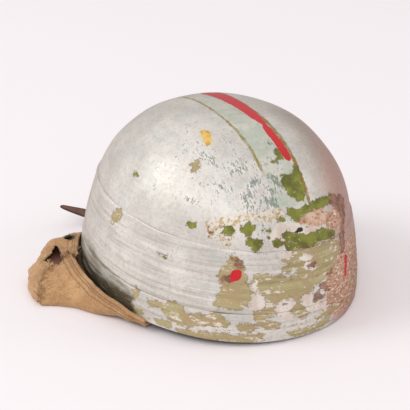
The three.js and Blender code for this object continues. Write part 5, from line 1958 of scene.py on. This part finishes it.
flaked = flaked_group()
wear = wear_group()
layers = paint_layers_group(flaked, wear)
pulp = bare_pulp()
dome_paint = silver_paint("dome paint", layers, 0.12, 0.64)
side_paint = silver_paint("side band paint", layers, 0.5, 0.575)
rim_paint = silver_paint("rim band paint", layers, 0.5, 0.555)
canvas = canvas_cloth()
leather = strap_leather()
metal = darkened_metal()
seam_thread = cotton_thread("seam thread", tone(176, 136, 92), tone(128, 92, 60))
loose_thread = cotton_thread("loose thread", tone(226, 198, 158), tone(200, 164, 120))

dressed(shell_skin(), "silver_paint", "shell", dome_paint, pulp)
side = band_skin("side_band_skin", side_band_rows(), RIM_BAND_HEIGHT + 0.05, seam_height, 61, 0.22, 0.05)
dressed(side, "silver_paint", "side_band", side_paint, pulp)
rim_top = level_height(RIM_BAND_HEIGHT)
rim = band_skin("rim_band_skin", rim_band_rows(), RIM_BAND_LIFT, rim_top, 71, 0.12, 0.08)
dressed(rim, "worn_paint", "rim_band", rim_paint, pulp)

cloths = {
    "right_ear_cloth": (right_ear_cloth(), "right_ear_panel", (0.128, 0.15), 0.0078),
    "right_nape_cloth": (right_nape_cloth(), "right_nape_panel", (0.107, 0.164), 0.0109),
    "back_nape_cloth": (plain_cloth(BACK_NAPE_ROWS, 45), "back_nape_panel", (0.176, 0.055), 0.0086),
    "left_ear_cloth": (plain_cloth(LEFT_EAR_ROWS, 49), "left_ear_panel", (0.176, 0.096), 0.0118),
}
stitches = stitch_tree()
threads = fray_tree()
for name, (made, node, flat, area) in cloths.items():
    cloth = cloth_piece(name, made)
    cloth.data.materials.append(canvas)
    finish_piece(cloth, "canvas", node)
for name, (made, _, _, _) in cloths.items():
    for k, down in enumerate(HEM_STITCHES if "right" in name else (2.2, 5)):
        line = along_panel(made[0], down, 0.12)
        if name == "right_nape_cloth":
            line = line[np.linalg.norm(line - EYELET_SPOT, axis=1) > 7.5]
        row = thread_path(f"{name}_stitches_{k + 1}", line)
        grown(row, stitches, Pitch=0.0033, Length=0.0025, Thickness=0.0008, Finish=seam_thread)
        finish_piece(row, "canvas")

ear = cloths["right_ear_cloth"][0][0]
nape = cloths["right_nape_cloth"][0][0]
for k, (length, pitch) in enumerate(((0.0032, 0.0006), (0.0022, 0.0008))):
    fringe = thread_path(f"seam_fringe_{k + 1}", seam_line(ear, -1 - k))
    grown(
        fringe, threads, Pitch=pitch, Length=length, Thickness=0.00014, Lean=1.5, Seed=11 + k,
        Finish=loose_thread,
    )
    finish_piece(fringe, "canvas")
tear_fringe = thread_path("tear_fringe", tear_line(ear, nape))
grown(
    tear_fringe, threads, Pitch=0.0006, Length=0.003, Thickness=0.00014, Lean=1.6, Seed=5,
    Finish=loose_thread,
)
finish_piece(tear_fringe, "canvas")

eyelet_middle = EYELET_SPOT + EYELET_INTO * CLOTH_THICK / 2
ring = ring_piece("eyelet_ring", eyelet_outline(), eyelet_middle, EYELET_INTO, 48)
dressed(ring, "dark_metal", "eyelet", metal)
for strap, node in ((long_strap_piece(), "long_strap"), (short_strap_piece(), "short_strap")):
    strap.data.materials.append(leather)
    finish_piece(strap, "leather", node)
frame_wire = wire_loop("buckle_wire", buckle_corners(), WIRE_RADIUS, 14)
dressed(frame_wire, "dark_metal", "buckle", metal)
